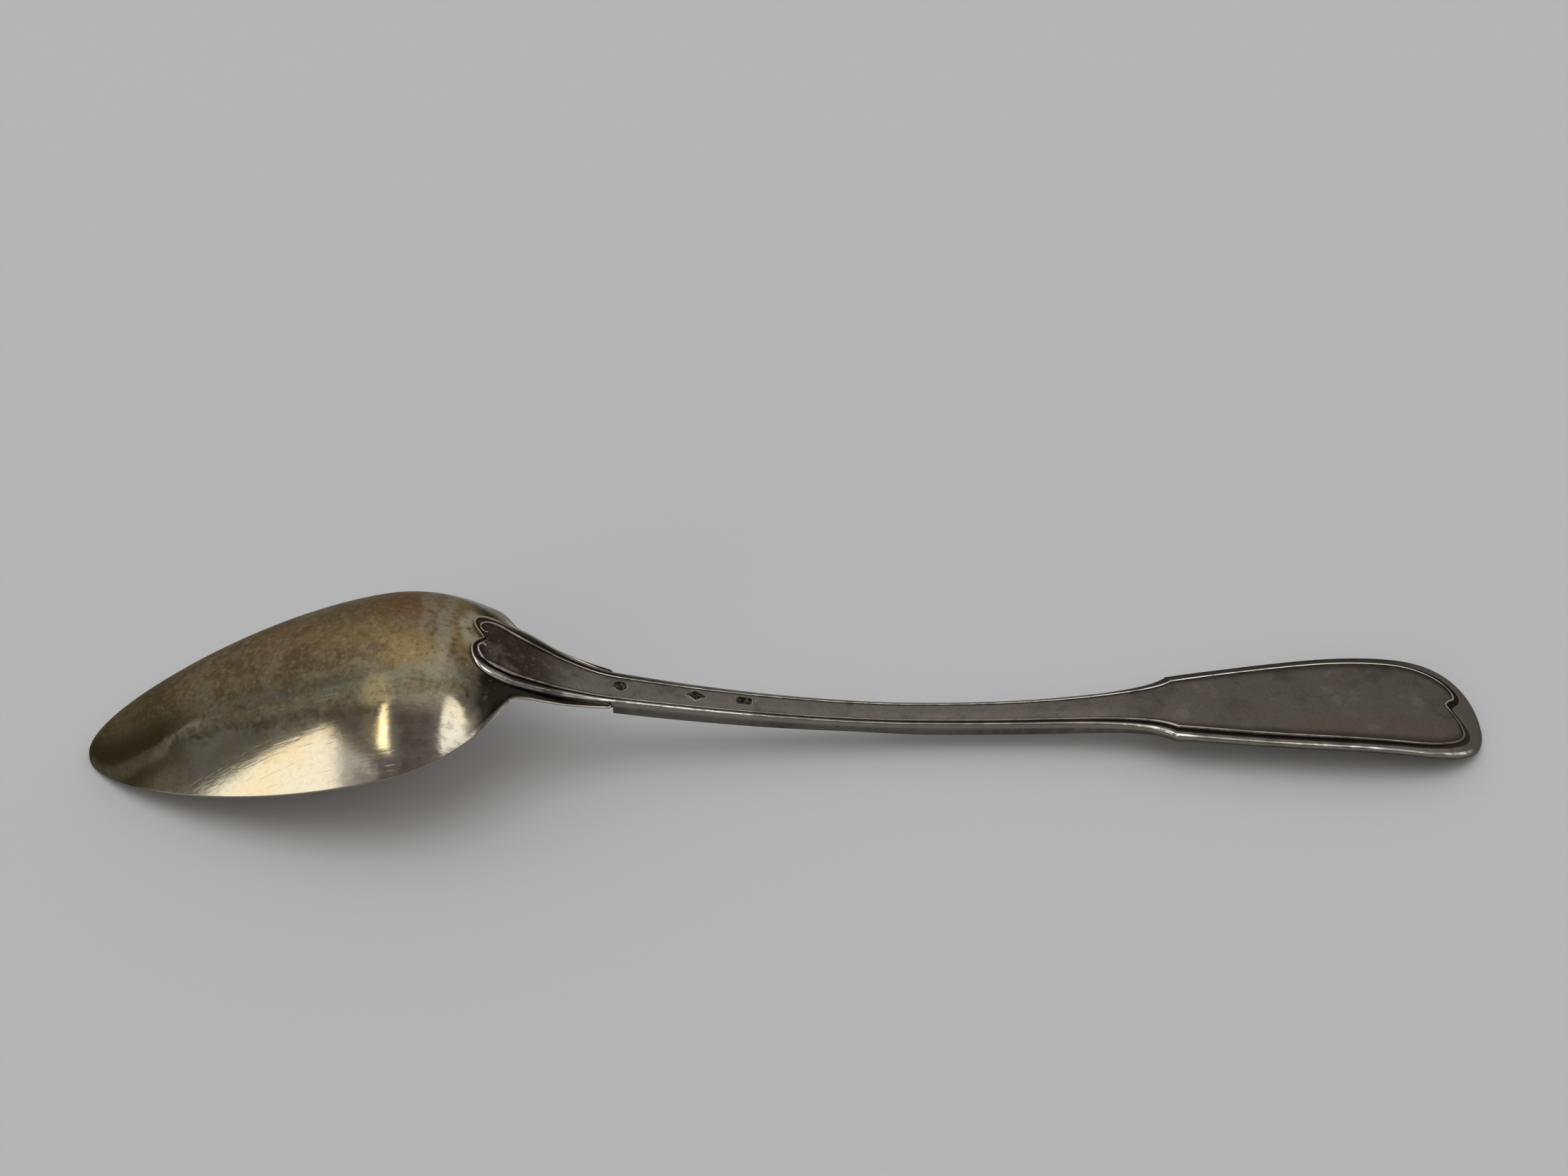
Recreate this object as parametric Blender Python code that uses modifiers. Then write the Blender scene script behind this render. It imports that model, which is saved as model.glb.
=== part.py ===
"""Long serving spoon in silver: a raised bowl and a threaded fiddle handle, joined by a soldered lap.

Metres, +Z up. The spoon lies face down as on a table, X along its length: the bowl's tip at -X, the
fiddle end at +X. It rests on the tip of the bowl's rim and on the drooping end of the handle. The
origin is on the table, at the middle of the length.
"""

import math

import bmesh
import bpy
import numpy as np
from mathutils import Matrix, Vector
from mathutils.geometry import interpolate_bezier

# Lengths along the spoon, from the bowl's tip to the handle's end
BOWL_LENGTH = 0.0965
NECK_LENGTH = 0.0212
STEM_LENGTH = 0.1228
FIDDLE_LENGTH = 0.0695

# Bowl: a pointed egg in plan, deepest towards the heel, with a flat rim that climbs to the throat
BOWL_WIDTH = 0.0580
BOWL_WIDEST_FROM_TIP = 0.0690
BOWL_CREST_HEIGHT = 0.0380
BOWL_CREST_FROM_TIP = 0.0714
BOWL_WALL = 0.0015
BOWL_RIM_WIDTH = 0.0014
BOWL_NOSE_WALL = 0.0018
BOWL_NOSE_BLUNT = 0.0094
BOWL_DOME_POWER = 2.1
THROAT_WIDTH = 0.0244
THROAT_HEIGHT = 0.0249

# Neck: the bowl's tail, a seat for the tongue between two thin upturned edges
HEEL_BEFORE_THROAT = 0.0020
HEEL_HEIGHT = 0.0287
HEEL_FALL = 0.93
NECK_WIDTH = 0.0124
NECK_EDGE_DROP = 0.0006
NECK_EDGE_DEPTH = 0.0006
SEAT_START = 0.37
SEAT_FULL = 0.42

# Stem: its top face falls from the step to a low arch and climbs again to the fiddle
STEP_HEIGHT = 0.0174
STEP_FALL = 0.25
STEM_NECK_WIDTH = 0.0097
STEM_WIDTH = 0.0072
STEM_NARROW_FROM_STEP = 0.0611
STEM_LOW_HEIGHT = 0.0072
STEM_LOW_FROM_STEP = 0.0841
STEM_NECK_DEPTH = 0.0036
STEM_DEPTH = 0.0028

# Fiddle: the flared end, flat along the middle and drooping to the table at its tip
SHOULDER_WIDTH = 0.0194
FIDDLE_WIDTH = 0.0306
FIDDLE_WIDEST_FROM_END = 0.0165
FIDDLE_DEPTH = 0.0017
FIDDLE_FLAT_HEIGHT = 0.0084
FIDDLE_FLAT_LENGTH = 0.0220
FIDDLE_FLAT_FROM_END = 0.0370

# Tongue: the thin scrolled end of the handle on the back of the bowl
TONGUE_LENGTH = 0.0294
TONGUE_WIDTH = 0.0183
TONGUE_WIDEST_FROM_TIP = 0.0052
TONGUE_DEPTH = 0.0012
TONGUE_LOBE_SPREAD = 0.0082
TONGUE_CUSP = 0.0023
JOINT_GAP = 0.0003

# Threads: how far the bead runs inside the outline, and how deep the relief is
STEM_THREAD = 0.00105
FIDDLE_THREAD = 0.0023
TONGUE_THREAD = 0.0029
EDGE_ROUND = 0.0003
GROOVE_DEPTH = 0.00050
BEAD_DROP = 0.00010
PANEL_DROP = 0.00035
HEART_SPREAD = 0.0118
HEART_LOBE_FROM_END = 0.0051
HEART_CUSP_FROM_END = 0.0077
TONGUE_BEAD_FROM_TIP = 0.0015

# Blank punched recesses on the stem's back: distance from the step, length and width
MARK_DEPTH = 0.00022
MARK_OFF_MIDDLE = 0.0004
OVAL_MARK = (0.0016, 0.0034, 0.0030)
LOZENGE_MARK = (0.0188, 0.0046, 0.0032)
CUT_CORNER_MARK = (0.0293, 0.0036, 0.0024)

# Fineness of the mesh, of the curves and of the places that slopes are taken between
CURVE_STEPS = 120
NEAR = 0.0002
BOWL_STATIONS = (20, 12, 11)
HANDLE_STATIONS = (6, 8, 11, 12, 18, 12, 12, 10)
OUTER_COLUMNS = 13
INNER_COLUMNS = 11
OVAL_SIDES = 28

LENGTH = BOWL_LENGTH + NECK_LENGTH + STEM_LENGTH + FIDDLE_LENGTH
X_TIP = -LENGTH / 2
X_THROAT = X_TIP + BOWL_LENGTH
X_STEP = X_THROAT + NECK_LENGTH
X_SHOULDER = X_STEP + STEM_LENGTH
X_END = LENGTH / 2


def clear_scene():
    for old in list(bpy.data.objects):
        bpy.data.objects.remove(old, do_unlink=True)


def bezier(points, steps=None):
    """Points of a chain of cubic curves: knot, handle, handle, knot and so on."""
    pieces = []
    for number, first in enumerate(range(0, len(points) - 1, 3)):
        count = CURVE_STEPS if steps is None else steps[number]
        knots = [Vector((p[0], p[1], 0.0)) for p in points[first:first + 4]]
        piece = [(p.x, p.y) for p in interpolate_bezier(*knots, count + 1)]
        pieces += piece if number == 0 else piece[1:]
    return np.array(pieces)


def reading(points):
    """A function that reads the second coordinate of a curve at any place along it."""
    curve = bezier(points)
    return lambda x: np.interp(x, curve[:, 0], curve[:, 1])


def smooth_step(low, high, x):
    t = np.clip((x - low) / (high - low), 0.0, 1.0)
    return t * t * (3 - 2 * t)


def blend(a, b, share):
    return a + (b - a) * share


# Bowl and neck

def on_slope(place, run, fall):
    """The place reached by going run along X from a place, down a slope of fall."""
    return (place[0] + run, place[1] - run * fall)


def bowl_outline_points():
    """Plan of the rim on one side: tip, widest place, throat, end of the neck at the step."""
    half = BOWL_WIDTH / 2
    throat = THROAT_WIDTH / 2
    neck = NECK_WIDTH / 2
    widest = X_TIP + BOWL_WIDEST_FROM_TIP
    cheek = X_THROAT - widest
    nose_handle = (X_TIP, BOWL_NOSE_BLUNT)
    side_handle = (widest - 0.54 * BOWL_WIDEST_FROM_TIP, half)
    cheek_handle = (widest + 0.55 * cheek, half)
    throat_handle = (X_THROAT - 0.17 * cheek, blend(throat, half, 0.49))
    neck_handle = (X_THROAT + 0.05 * NECK_LENGTH, blend(throat, neck, 0.25))
    step_handle = (X_STEP - 0.38 * NECK_LENGTH, blend(neck, throat, 0.25))
    return [(X_TIP, 0.0), nose_handle, side_handle, (widest, half), cheek_handle, throat_handle,
            (X_THROAT, throat), neck_handle, step_handle, (X_STEP, neck)]


def rim_height_points():
    """Side view of the rim: straight from the tip to the throat, then down along the neck's edges."""
    turn = 0.25 * NECK_LENGTH
    edge = (X_STEP, STEP_HEIGHT - NECK_EDGE_DROP)
    before = on_slope((X_TIP, 0.0), BOWL_LENGTH - turn, -THROAT_HEIGHT / BOWL_LENGTH)
    after = (X_THROAT + turn, blend(THROAT_HEIGHT, edge[1], 0.28))
    straight = [(blend(X_TIP, before[0], share), share * before[1]) for share in (0, 1 / 3, 2 / 3, 1)]
    peak_handles = [(X_THROAT - 0.3 * turn, THROAT_HEIGHT), (X_THROAT + 0.3 * turn, THROAT_HEIGHT)]
    fall_handle = (after[0] + 0.3 * NECK_LENGTH, blend(after[1], edge[1], 0.58))
    edge_handle = on_slope(edge, -0.2 * NECK_LENGTH, STEP_FALL)
    return straight + peak_handles + [after, fall_handle, edge_handle, edge]


def seat_height_at_step():
    lift = (JOINT_GAP + TONGUE_DEPTH) * np.hypot(1.0, STEP_FALL)
    return STEP_HEIGHT - lift


def crest_points():
    """Side view of the back along the middle: nose, crest, heel, and the seat under the tongue."""
    top = BOWL_CREST_HEIGHT
    nose = (X_TIP, 0.015 * top)
    crest = (X_TIP + BOWL_CREST_FROM_TIP, top)
    heel = (X_THROAT - HEEL_BEFORE_THROAT, HEEL_HEIGHT)
    seat = (X_STEP, seat_height_at_step())
    shoulder = heel[0] - crest[0]
    tail = seat[0] - heel[0]
    nose_handle = (X_TIP + 0.002 * BOWL_LENGTH, 0.35 * top)
    rise_handle = (crest[0] - 0.273 * BOWL_CREST_FROM_TIP, top)
    crest_handle = (crest[0] + 0.39 * shoulder, top)
    heel_handle = on_slope(heel, -0.24 * shoulder, HEEL_FALL)
    tail_handle = on_slope(heel, 0.27 * tail, HEEL_FALL)
    seat_handle = on_slope(seat, -0.32 * tail, STEP_FALL)
    return [nose, nose_handle, rise_handle, crest, crest_handle, heel_handle,
            heel, tail_handle, seat_handle, seat]


rim_half = reading(bowl_outline_points())
rim_height = reading(rim_height_points())
crest_height = reading(crest_points())


def neck_share(x):
    """0 in the bowl, 1 where the section is the neck's flat seat."""
    return smooth_step(X_THROAT - SEAT_START * NECK_LENGTH, X_THROAT + SEAT_FULL * NECK_LENGTH, x)


def back_form(x, across):
    """Height of the bowl's back and of the neck's seat: across is 0 in the middle, 1 at the rim."""
    seat_share = (STEM_NECK_WIDTH + 2 * JOINT_GAP) / max(NECK_WIDTH, STEM_NECK_WIDTH + 4 * JOINT_GAP)
    dome = 1 - across ** BOWL_DOME_POWER
    seat = 1 - (np.maximum(across - seat_share, 0.0) / (1 - seat_share)) ** 2
    form = blend(dome, seat, neck_share(x))
    return rim_height(x) + (crest_height(x) - rim_height(x)) * form


def back_height(x, y):
    """Height of the bowl's back at a place in plan."""
    return back_form(x, np.minimum(np.abs(y) / rim_half(x), 1.0))


def steepness(x, y):
    """How much longer a vertical measure is than one square to the bowl's back."""
    along = (back_height(x + NEAR, y) - back_height(x - NEAR, y)) / (2 * NEAR)
    over = (back_height(x, y + NEAR) - back_height(x, y - NEAR)) / (2 * NEAR)
    return np.sqrt(1 + along ** 2 + over ** 2)


def front_line(x):
    """Height of the hollow along the middle, and of the neck's rounded underside."""
    slope = (crest_height(x + NEAR) - crest_height(x - NEAR)) / (2 * NEAR)
    neck_depth = STEM_NECK_DEPTH - (STEP_HEIGHT - seat_height_at_step())
    depth = blend(BOWL_WALL, neck_depth / np.hypot(1.0, STEP_FALL), neck_share(x))
    return crest_height(x) - depth * np.hypot(1.0, slope)


def bowl_section(x, half):
    """Half a section: over the back from the middle to the rim, then under it to the middle."""
    share = np.sin(np.linspace(0.0, np.pi / 2, OUTER_COLUMNS))
    outer = [(x, half * s, float(back_form(x, s))) for s in share]
    in_bowl = np.clip((X_THROAT - x) / BOWL_LENGTH, 0.0, 1.0)
    inner_x = x + BOWL_NOSE_WALL * in_bowl
    inner_half = half * (1 - 2 * BOWL_RIM_WIDTH / BOWL_WIDTH)
    edge = rim_height(inner_x) - NECK_EDGE_DEPTH * neck_share(inner_x)
    middle = front_line(inner_x)
    inner = []
    for s in np.sin(np.linspace(np.pi / 2, 0.0, INNER_COLUMNS)):
        inner.append((inner_x, inner_half * s, float(edge + (middle - edge) * (1 - s ** BOWL_DOME_POWER))))
    return outer + inner


def loft_half(name, sections, cap_last=False):
    """A body from half sections at Y above 0, mirrored across the spoon's middle plane."""
    shape = bmesh.new()
    grid = [[shape.verts.new(point) for point in section] for section in sections]
    for one, two in zip(grid, grid[1:]):
        for k in range(len(one) - 1):
            shape.faces.new((one[k], two[k], two[k + 1], one[k + 1]))
    if cap_last:
        shape.faces.new(list(reversed(grid[-1])))
    bmesh.ops.remove_doubles(shape, verts=shape.verts, dist=1e-7)
    bmesh.ops.dissolve_degenerate(shape, edges=shape.edges, dist=1e-7)
    mesh = bpy.data.meshes.new(name)
    shape.to_mesh(mesh)
    shape.free()
    piece = bpy.data.objects.new(name, mesh)
    mirror = piece.modifiers.new("other half", "MIRROR")
    mirror.use_axis = (False, True, False)
    mirror.merge_threshold = 1e-6
    return piece


def make_bowl():
    outline = bezier(bowl_outline_points(), BOWL_STATIONS)
    last = X_STEP - JOINT_GAP
    sections = [bowl_section(min(x, last), y) for x, y in outline]
    return loft_half("bowl", sections, cap_last=True)


# Handle

def handle_top_points():
    """Side view of the handle's back, from the step to the end."""
    step = (X_STEP, STEP_HEIGHT)
    low = (X_STEP + STEM_LOW_FROM_STEP, STEM_LOW_HEIGHT)
    flat_end = (X_END - FIDDLE_FLAT_FROM_END, FIDDLE_FLAT_HEIGHT)
    flat_start = (flat_end[0] - FIDDLE_FLAT_LENGTH, FIDDLE_FLAT_HEIGHT)
    end = (X_END, FIDDLE_DEPTH - EDGE_ROUND)
    climb = flat_start[0] - low[0]
    step_handle = on_slope(step, 0.30 * STEM_LOW_FROM_STEP, STEP_FALL)
    low_handle = (low[0] - 0.40 * STEM_LOW_FROM_STEP, low[1])
    climb_handles = [(low[0] + 0.40 * climb, low[1]), (flat_start[0] - 0.40 * climb, flat_start[1])]
    flat_handles = [(flat_end[0] - share * FIDDLE_FLAT_LENGTH, FIDDLE_FLAT_HEIGHT) for share in (2 / 3, 1 / 3)]
    droop_handle = (flat_end[0] + 0.46 * FIDDLE_FLAT_FROM_END, FIDDLE_FLAT_HEIGHT)
    end_handle = (X_END - 0.21 * FIDDLE_FLAT_FROM_END, blend(end[1], FIDDLE_FLAT_HEIGHT, 0.66))
    return [step, step_handle, low_handle, low, *climb_handles, flat_start, *flat_handles, flat_end,
            droop_handle, end_handle, end]


def handle_depth_points():
    """Thickness of the stem and fiddle: tapering to the fiddle, thinner past its shoulders."""
    low = X_STEP + STEM_LOW_FROM_STEP
    thin = X_SHOULDER + 0.12 * FIDDLE_LENGTH
    handle = 0.3 * STEM_LOW_FROM_STEP
    fiddle = [(blend(thin, X_END, share), FIDDLE_DEPTH) for share in (0, 1 / 3, 2 / 3, 1)]
    return [(X_STEP, STEM_NECK_DEPTH), (X_STEP + handle, STEM_NECK_DEPTH), (low - handle, STEM_DEPTH),
            (low, STEM_DEPTH), (X_SHOULDER - 0.08 * STEM_LENGTH, STEM_DEPTH),
            (X_SHOULDER, FIDDLE_DEPTH), *fiddle]


handle_top = reading(handle_top_points())
handle_depth = reading(handle_depth_points())


def track_points(inset):
    """Half plan of the handle from the tongue's cusp round to the fiddle's end.

    inset is 0 for the outline and 1 for the bead of the thread that follows it inside.
    """
    tip = X_STEP - TONGUE_LENGTH
    cusp = (tip + TONGUE_CUSP + 0.6 * TONGUE_BEAD_FROM_TIP * inset, 0.0)
    lobe = (tip + TONGUE_BEAD_FROM_TIP * inset, TONGUE_LOBE_SPREAD / 2)
    wide = (tip + TONGUE_WIDEST_FROM_TIP, TONGUE_WIDTH / 2 - TONGUE_THREAD * inset)
    step = (X_STEP, STEM_NECK_WIDTH / 2 - STEM_THREAD * inset)
    narrow = (X_STEP + STEM_NARROW_FROM_STEP, STEM_WIDTH / 2 - STEM_THREAD * inset)
    shoulder = (X_SHOULDER + 0.3 * FIDDLE_THREAD * inset, SHOULDER_WIDTH / 2 - 0.9 * FIDDLE_THREAD * inset)
    broad = (X_END - FIDDLE_WIDEST_FROM_END - 0.8 * FIDDLE_THREAD * inset,
             FIDDLE_WIDTH / 2 - FIDDLE_THREAD * inset)
    heart = (X_END - blend(0.045 * FIDDLE_WIDEST_FROM_END, HEART_LOBE_FROM_END, inset), HEART_SPREAD / 2)
    end = (X_END - HEART_CUSP_FROM_END * inset, 0.0)

    side = step[0] - wide[0]
    stem = narrow[0] - step[0]
    flare = shoulder[0] - narrow[0]
    fiddle = broad[0] - shoulder[0]
    lean = 0.29 * (1 - inset)
    corner = blend(0.63, 0.52, inset) * (broad[1] - heart[1])
    dip = blend(0.30, 0.46, inset) * heart[1]
    cusp_handles = [(blend(cusp[0], lobe[0], 0.45), 0.35 * lobe[1]), (lobe[0], 0.62 * lobe[1])]
    lobe_handles = [(lobe[0], blend(lobe[1], wide[1], 0.62)), (blend(lobe[0], wide[0], 0.35), wide[1])]
    tongue_handles = [(wide[0] + 0.30 * side, wide[1]),
                      (step[0] - 0.45 * side, blend(step[1], wide[1], 0.22))]
    stem_handles = [(step[0] + 0.22 * stem, blend(step[1], narrow[1], 0.55)),
                    (narrow[0] - 0.40 * stem, narrow[1])]
    flare_handles = [(narrow[0] + 0.52 * flare, narrow[1]),
                     (shoulder[0] - 0.115 * flare, blend(narrow[1], shoulder[1], 0.10))]
    fiddle_handles = [(shoulder[0] + 0.27 * fiddle, blend(shoulder[1], broad[1], 0.41)),
                      (broad[0] - 0.34 * fiddle, broad[1])]
    corner_handles = [(blend(broad[0], heart[0], 0.59), broad[1]),
                      (heart[0] - lean * corner, heart[1] + corner)]
    end_handles = [(heart[0] + lean * dip, heart[1] - dip),
                   (blend(end[0], heart[0], 0.75 * inset), blend(0.37, 0.13, inset) * heart[1])]
    return [cusp, *cusp_handles, lobe, *lobe_handles, wide, *tongue_handles, step, *stem_handles, narrow,
            *flare_handles, shoulder, *fiddle_handles, broad, *corner_handles, heart, *end_handles, end]


def middle_line(outline):
    """Places on the middle line that face each station of the outline, held clear of both cusps."""
    first = X_STEP - TONGUE_LENGTH + TONGUE_CUSP + 1.8 * TONGUE_BEAD_FROM_TIP
    last = X_END - 1.15 * HEART_CUSP_FROM_END
    lobes = HANDLE_STATIONS[0] + HANDLE_STATIONS[1]
    step = lobes + HANDLE_STATIONS[2]
    broad = len(outline) - 1 - HANDLE_STATIONS[-2] - HANDLE_STATIONS[-1]
    shoulder = broad - HANDLE_STATIONS[-3]
    after_lobes = first + 0.1 * TONGUE_LENGTH
    before_heart = last - 0.5 * HEART_CUSP_FROM_END
    x = outline[:, 0]
    tongue = np.interp(x[lobes:step], (x[lobes], x[step]), (after_lobes, X_STEP))
    fiddle = np.interp(x[shoulder:broad], (x[shoulder], x[broad]), (x[shoulder], before_heart))
    return np.concatenate([np.linspace(first, after_lobes, lobes, endpoint=False), tongue,
                           x[step:shoulder], fiddle,
                           np.linspace(before_heart, last, len(outline) - broad)])


def top_relief():
    """Section of the thread from the edge inwards: share of the way to the bead, and drop."""
    return [(0.00, EDGE_ROUND), (0.09, 0.30 * EDGE_ROUND), (0.28, 0.0), (0.50, 0.5 * BEAD_DROP),
            (0.68, GROOVE_DEPTH), (0.86, 0.85 * GROOVE_DEPTH), (1.00, BEAD_DROP), (1.16, PANEL_DROP)]


def front_relief():
    """The plainer border of the front face, in the same terms."""
    return [(0.00, EDGE_ROUND), (0.12, 0.0), (0.60, 0.0), (0.85, PANEL_DROP)]


def back_face(x, y):
    """Height of the handle's back before its relief: over the bowl's back, then along the stem."""
    lift = (JOINT_GAP + TONGUE_DEPTH) * steepness(x, y)
    on_bowl = back_height(x, y) + lift
    return np.where(x < X_STEP, on_bowl, handle_top(x))


def under_face(x, y):
    """Height of the tongue's underside, a joint gap clear of the bowl."""
    return back_height(x, y) + JOINT_GAP * steepness(x, y)


def handle_section(edge, bead, middle, on_tongue):
    """Half a section: from the middle of the front face, round the edge, to the middle of the back."""
    section = []
    front = [(middle, 0.0, PANEL_DROP)]
    for share, drop in reversed(front_relief()):
        place = blend(edge, bead, share)
        front.append((place[0], place[1], drop))
    for x, y, drop in front:
        stem_front = handle_top(x) - handle_depth(x) + drop
        section.append((x, y, float(under_face(x, y) if on_tongue else stem_front)))
    back = []
    for share, drop in top_relief():
        place = blend(edge, bead, share)
        back.append((place[0], place[1], drop))
    panel = back[-1]
    back.append((blend(panel[0], middle, 0.5), 0.5 * panel[1], PANEL_DROP))
    back.append((middle, 0.0, PANEL_DROP))
    for x, y, drop in back:
        section.append((x, y, float(back_face(x, y) - drop)))
    return section


def make_handle():
    edges = bezier(track_points(0.0), HANDLE_STATIONS)
    beads = bezier(track_points(1.0), HANDLE_STATIONS)
    middles = middle_line(edges)
    step = sum(HANDLE_STATIONS[:3])
    sections = []
    for number, (edge, bead, middle) in enumerate(zip(edges, beads, middles)):
        if number <= step:
            sections.append(handle_section(edge, bead, middle, on_tongue=True))
        if number >= step:
            sections.append(handle_section(edge, bead, middle, on_tongue=False))
    sections = [list(reversed(section)) for section in sections]
    return loft_half("handle", sections)


# Punched recesses

def mark_cutter(name, mark, sides, first_corner):
    """A prism that sinks one recess into the stem's panel, square to its slope."""
    from_step, length, width = mark
    x = X_STEP + from_step
    slope = (handle_top(x + NEAR) - handle_top(x - NEAR)) / (2 * NEAR)
    height = 8 * MARK_DEPTH
    shape = bmesh.new()
    bmesh.ops.create_cone(shape, cap_ends=True, segments=sides, radius1=0.5, radius2=0.5, depth=height)
    bmesh.ops.rotate(shape, verts=shape.verts, matrix=Matrix.Rotation(first_corner, 3, "Z"))
    bmesh.ops.scale(shape, verts=shape.verts, vec=(length, width, 1.0))
    bmesh.ops.translate(shape, verts=shape.verts, vec=(0.0, 0.0, height / 2 - MARK_DEPTH))
    mesh = bpy.data.meshes.new(name)
    shape.to_mesh(mesh)
    shape.free()
    cutter = bpy.data.objects.new(name, mesh)
    cutter.location = (x, MARK_OFF_MIDDLE, float(handle_top(x)) - PANEL_DROP)
    cutter.rotation_euler = (0.0, -float(np.arctan(slope)), 0.0)
    cutter.hide_render = True
    cutter.display_type = "WIRE"
    return cutter


def sink_marks(handle, collection):
    """Cut the three blank recesses into the back of the stem."""
    cutters = [mark_cutter("oval mark", OVAL_MARK, OVAL_SIDES, 0.0),
               mark_cutter("lozenge mark", LOZENGE_MARK, 4, 0.0),
               mark_cutter("cut corner mark", CUT_CORNER_MARK, 8, math.pi / 8)]
    for cutter in cutters:
        collection.objects.link(cutter)
        sink = handle.modifiers.new(cutter.name, "BOOLEAN")
        sink.operation = "DIFFERENCE"
        sink.solver = "EXACT"
        sink.object = cutter


def metal(name, colour, roughness):
    material = bpy.data.materials.new(name)
    material.use_nodes = True
    shader = material.node_tree.nodes["Principled BSDF"]
    shader.inputs["Base Color"].default_value = (*colour, 1.0)
    shader.inputs["Metallic"].default_value = 1.0
    shader.inputs["Roughness"].default_value = roughness
    return material


def new_collection(name):
    collection = bpy.data.collections.new(name)
    bpy.context.scene.collection.children.link(collection)
    return collection


def main():
    clear_scene()
    spoon = new_collection("serving spoon")
    cutters = new_collection("cutters")
    bowl = make_bowl()
    handle = make_handle()
    bowl.data.materials.append(metal("gold toned silver", (0.55, 0.46, 0.27), 0.30))
    handle.data.materials.append(metal("grey toned silver", (0.46, 0.41, 0.37), 0.32))
    spoon.objects.link(bowl)
    spoon.objects.link(handle)
    sink_marks(handle, cutters)
    cutters.hide_render = True


main()
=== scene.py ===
"""Long serving spoon in tarnished silver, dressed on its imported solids.

Metres, +Z up. The spoon lies face down, X along its length: the bowl's tip at -X, the fiddle end at +X.
"""

import math

import bmesh
import bpy
import numpy as np
from bpy.props import FloatProperty, FloatVectorProperty, PointerProperty
from mathutils import Matrix, Vector
from mathutils.geometry import interpolate_bezier


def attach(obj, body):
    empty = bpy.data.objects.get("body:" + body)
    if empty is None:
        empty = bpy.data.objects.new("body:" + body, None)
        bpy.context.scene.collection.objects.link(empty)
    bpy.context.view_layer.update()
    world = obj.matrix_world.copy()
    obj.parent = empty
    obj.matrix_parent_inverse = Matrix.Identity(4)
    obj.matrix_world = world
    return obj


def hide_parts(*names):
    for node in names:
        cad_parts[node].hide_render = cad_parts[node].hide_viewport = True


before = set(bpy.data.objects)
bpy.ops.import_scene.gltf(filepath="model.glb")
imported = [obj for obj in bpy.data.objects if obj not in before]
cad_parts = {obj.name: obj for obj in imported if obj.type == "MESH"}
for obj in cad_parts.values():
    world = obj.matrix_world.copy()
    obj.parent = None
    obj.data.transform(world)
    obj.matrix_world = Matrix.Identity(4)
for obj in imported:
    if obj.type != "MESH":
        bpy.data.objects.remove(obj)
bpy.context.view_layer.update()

bl_info = {
    "name": "Serving spoon",
    "version": (1, 0, 0),
    "blender": (4, 5, 0),
    "location": "View3D > Sidebar > Spoon",
    "description": "Builds a long silver serving spoon with a threaded fiddle handle",
    "category": "Add Mesh",
}

# Shares and slopes that give the curves their character
BOWL_DOME_POWER = 2.1
NOSE_DOME_POWER = 1.95
HEEL_FALL = 0.93
STEP_FALL = 0.25
SEAT_START = 0.37
SEAT_FULL = 0.42
ROLL_POWER = 2.8

# Fineness of the meshes, of the curves and of the places that slopes are taken between
CURVE_STEPS = 160
NEAR = 0.0002
EASE_SHIFTS = np.linspace(-0.005, 0.005, 9)
MERGE_DISTANCE = 2e-7
BOWL_STATIONS = (72, 40, 44)
OUTER_COLUMNS = 44
LIP_SHARES = (0.25, 0.5, 0.75, 1.0)
INNER_COLUMNS = 36
HANDLE_STATIONS = (18, 26, 52, 50, 80, 70, 60, 44)
WALL_SHARES = (0.25, 0.5, 0.75)
PANEL_SHARES = (0.1, 0.25, 0.45, 0.7, 1.0)
FRONT_SHARES = (0, .015, .04, .08, .12, .3, .6, .66, .72, .78, .85)
SCROLL_SIDES = 10
SCROLL_POINTS = 140
SCROLL_SMOOTHINGS = 14

# Angles from which edges stay sharp, and half the floor's width
BOWL_SHARP = math.radians(50)
HANDLE_SHARP = math.radians(55)
FLOOR_REACH = 12.0

# Marks across the thread: edge, crest of the rolled border, its inner edge, near foot, top and far foot of the bead
THREAD_MARKS = (0.0, 0.45, 0.5, 0.91, 1.0, 1.09)
# Marks up the wall, between the front at -1 and the edge at 0
WALL_MARKS = (-0.55, -0.35)
BACK_SHARES = (0, .0045, .018, .045, .09, .144, .207, .279, .36, .45, .48, .5, .52, .54, .56, .58, .6, .63, .7, .78,
               .85, .91, .914, .922, .935, .955, .975, 1, 1.025, 1.045, 1.065, 1.078, 1.086, 1.09)

# Shares of the thread's width: groove, what it gains on the lobes and loses on the fiddle, roll of what is left on
# the stem and on the fiddle, and half the bead as a share of the groove
GROOVE_SHARE = 0.5
LOBE_GAIN = 0.22
FIDDLE_LOSS = 0.07
ROLL_SHARES = (0.9, 0.55)
WIRE_SHARE = 0.28
# Half the length over which tongue passes into stem and stem into fiddle, and how far before the shoulders the
# stem's groove starts to deepen
PASSAGE = 0.006
GROOVE_DEEPENS = 0.024
# From the tongue's tip: where the lobes' wider groove fades, where the scrolls take over from the bead, and the
# stretch of the bead that leads into a scroll
LOBE_FADE = (0.016, 0.006)
SCROLL_START = (0.0056, 0.0036)
SCROLL_LEAD = (0.011, 0.017)

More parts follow.
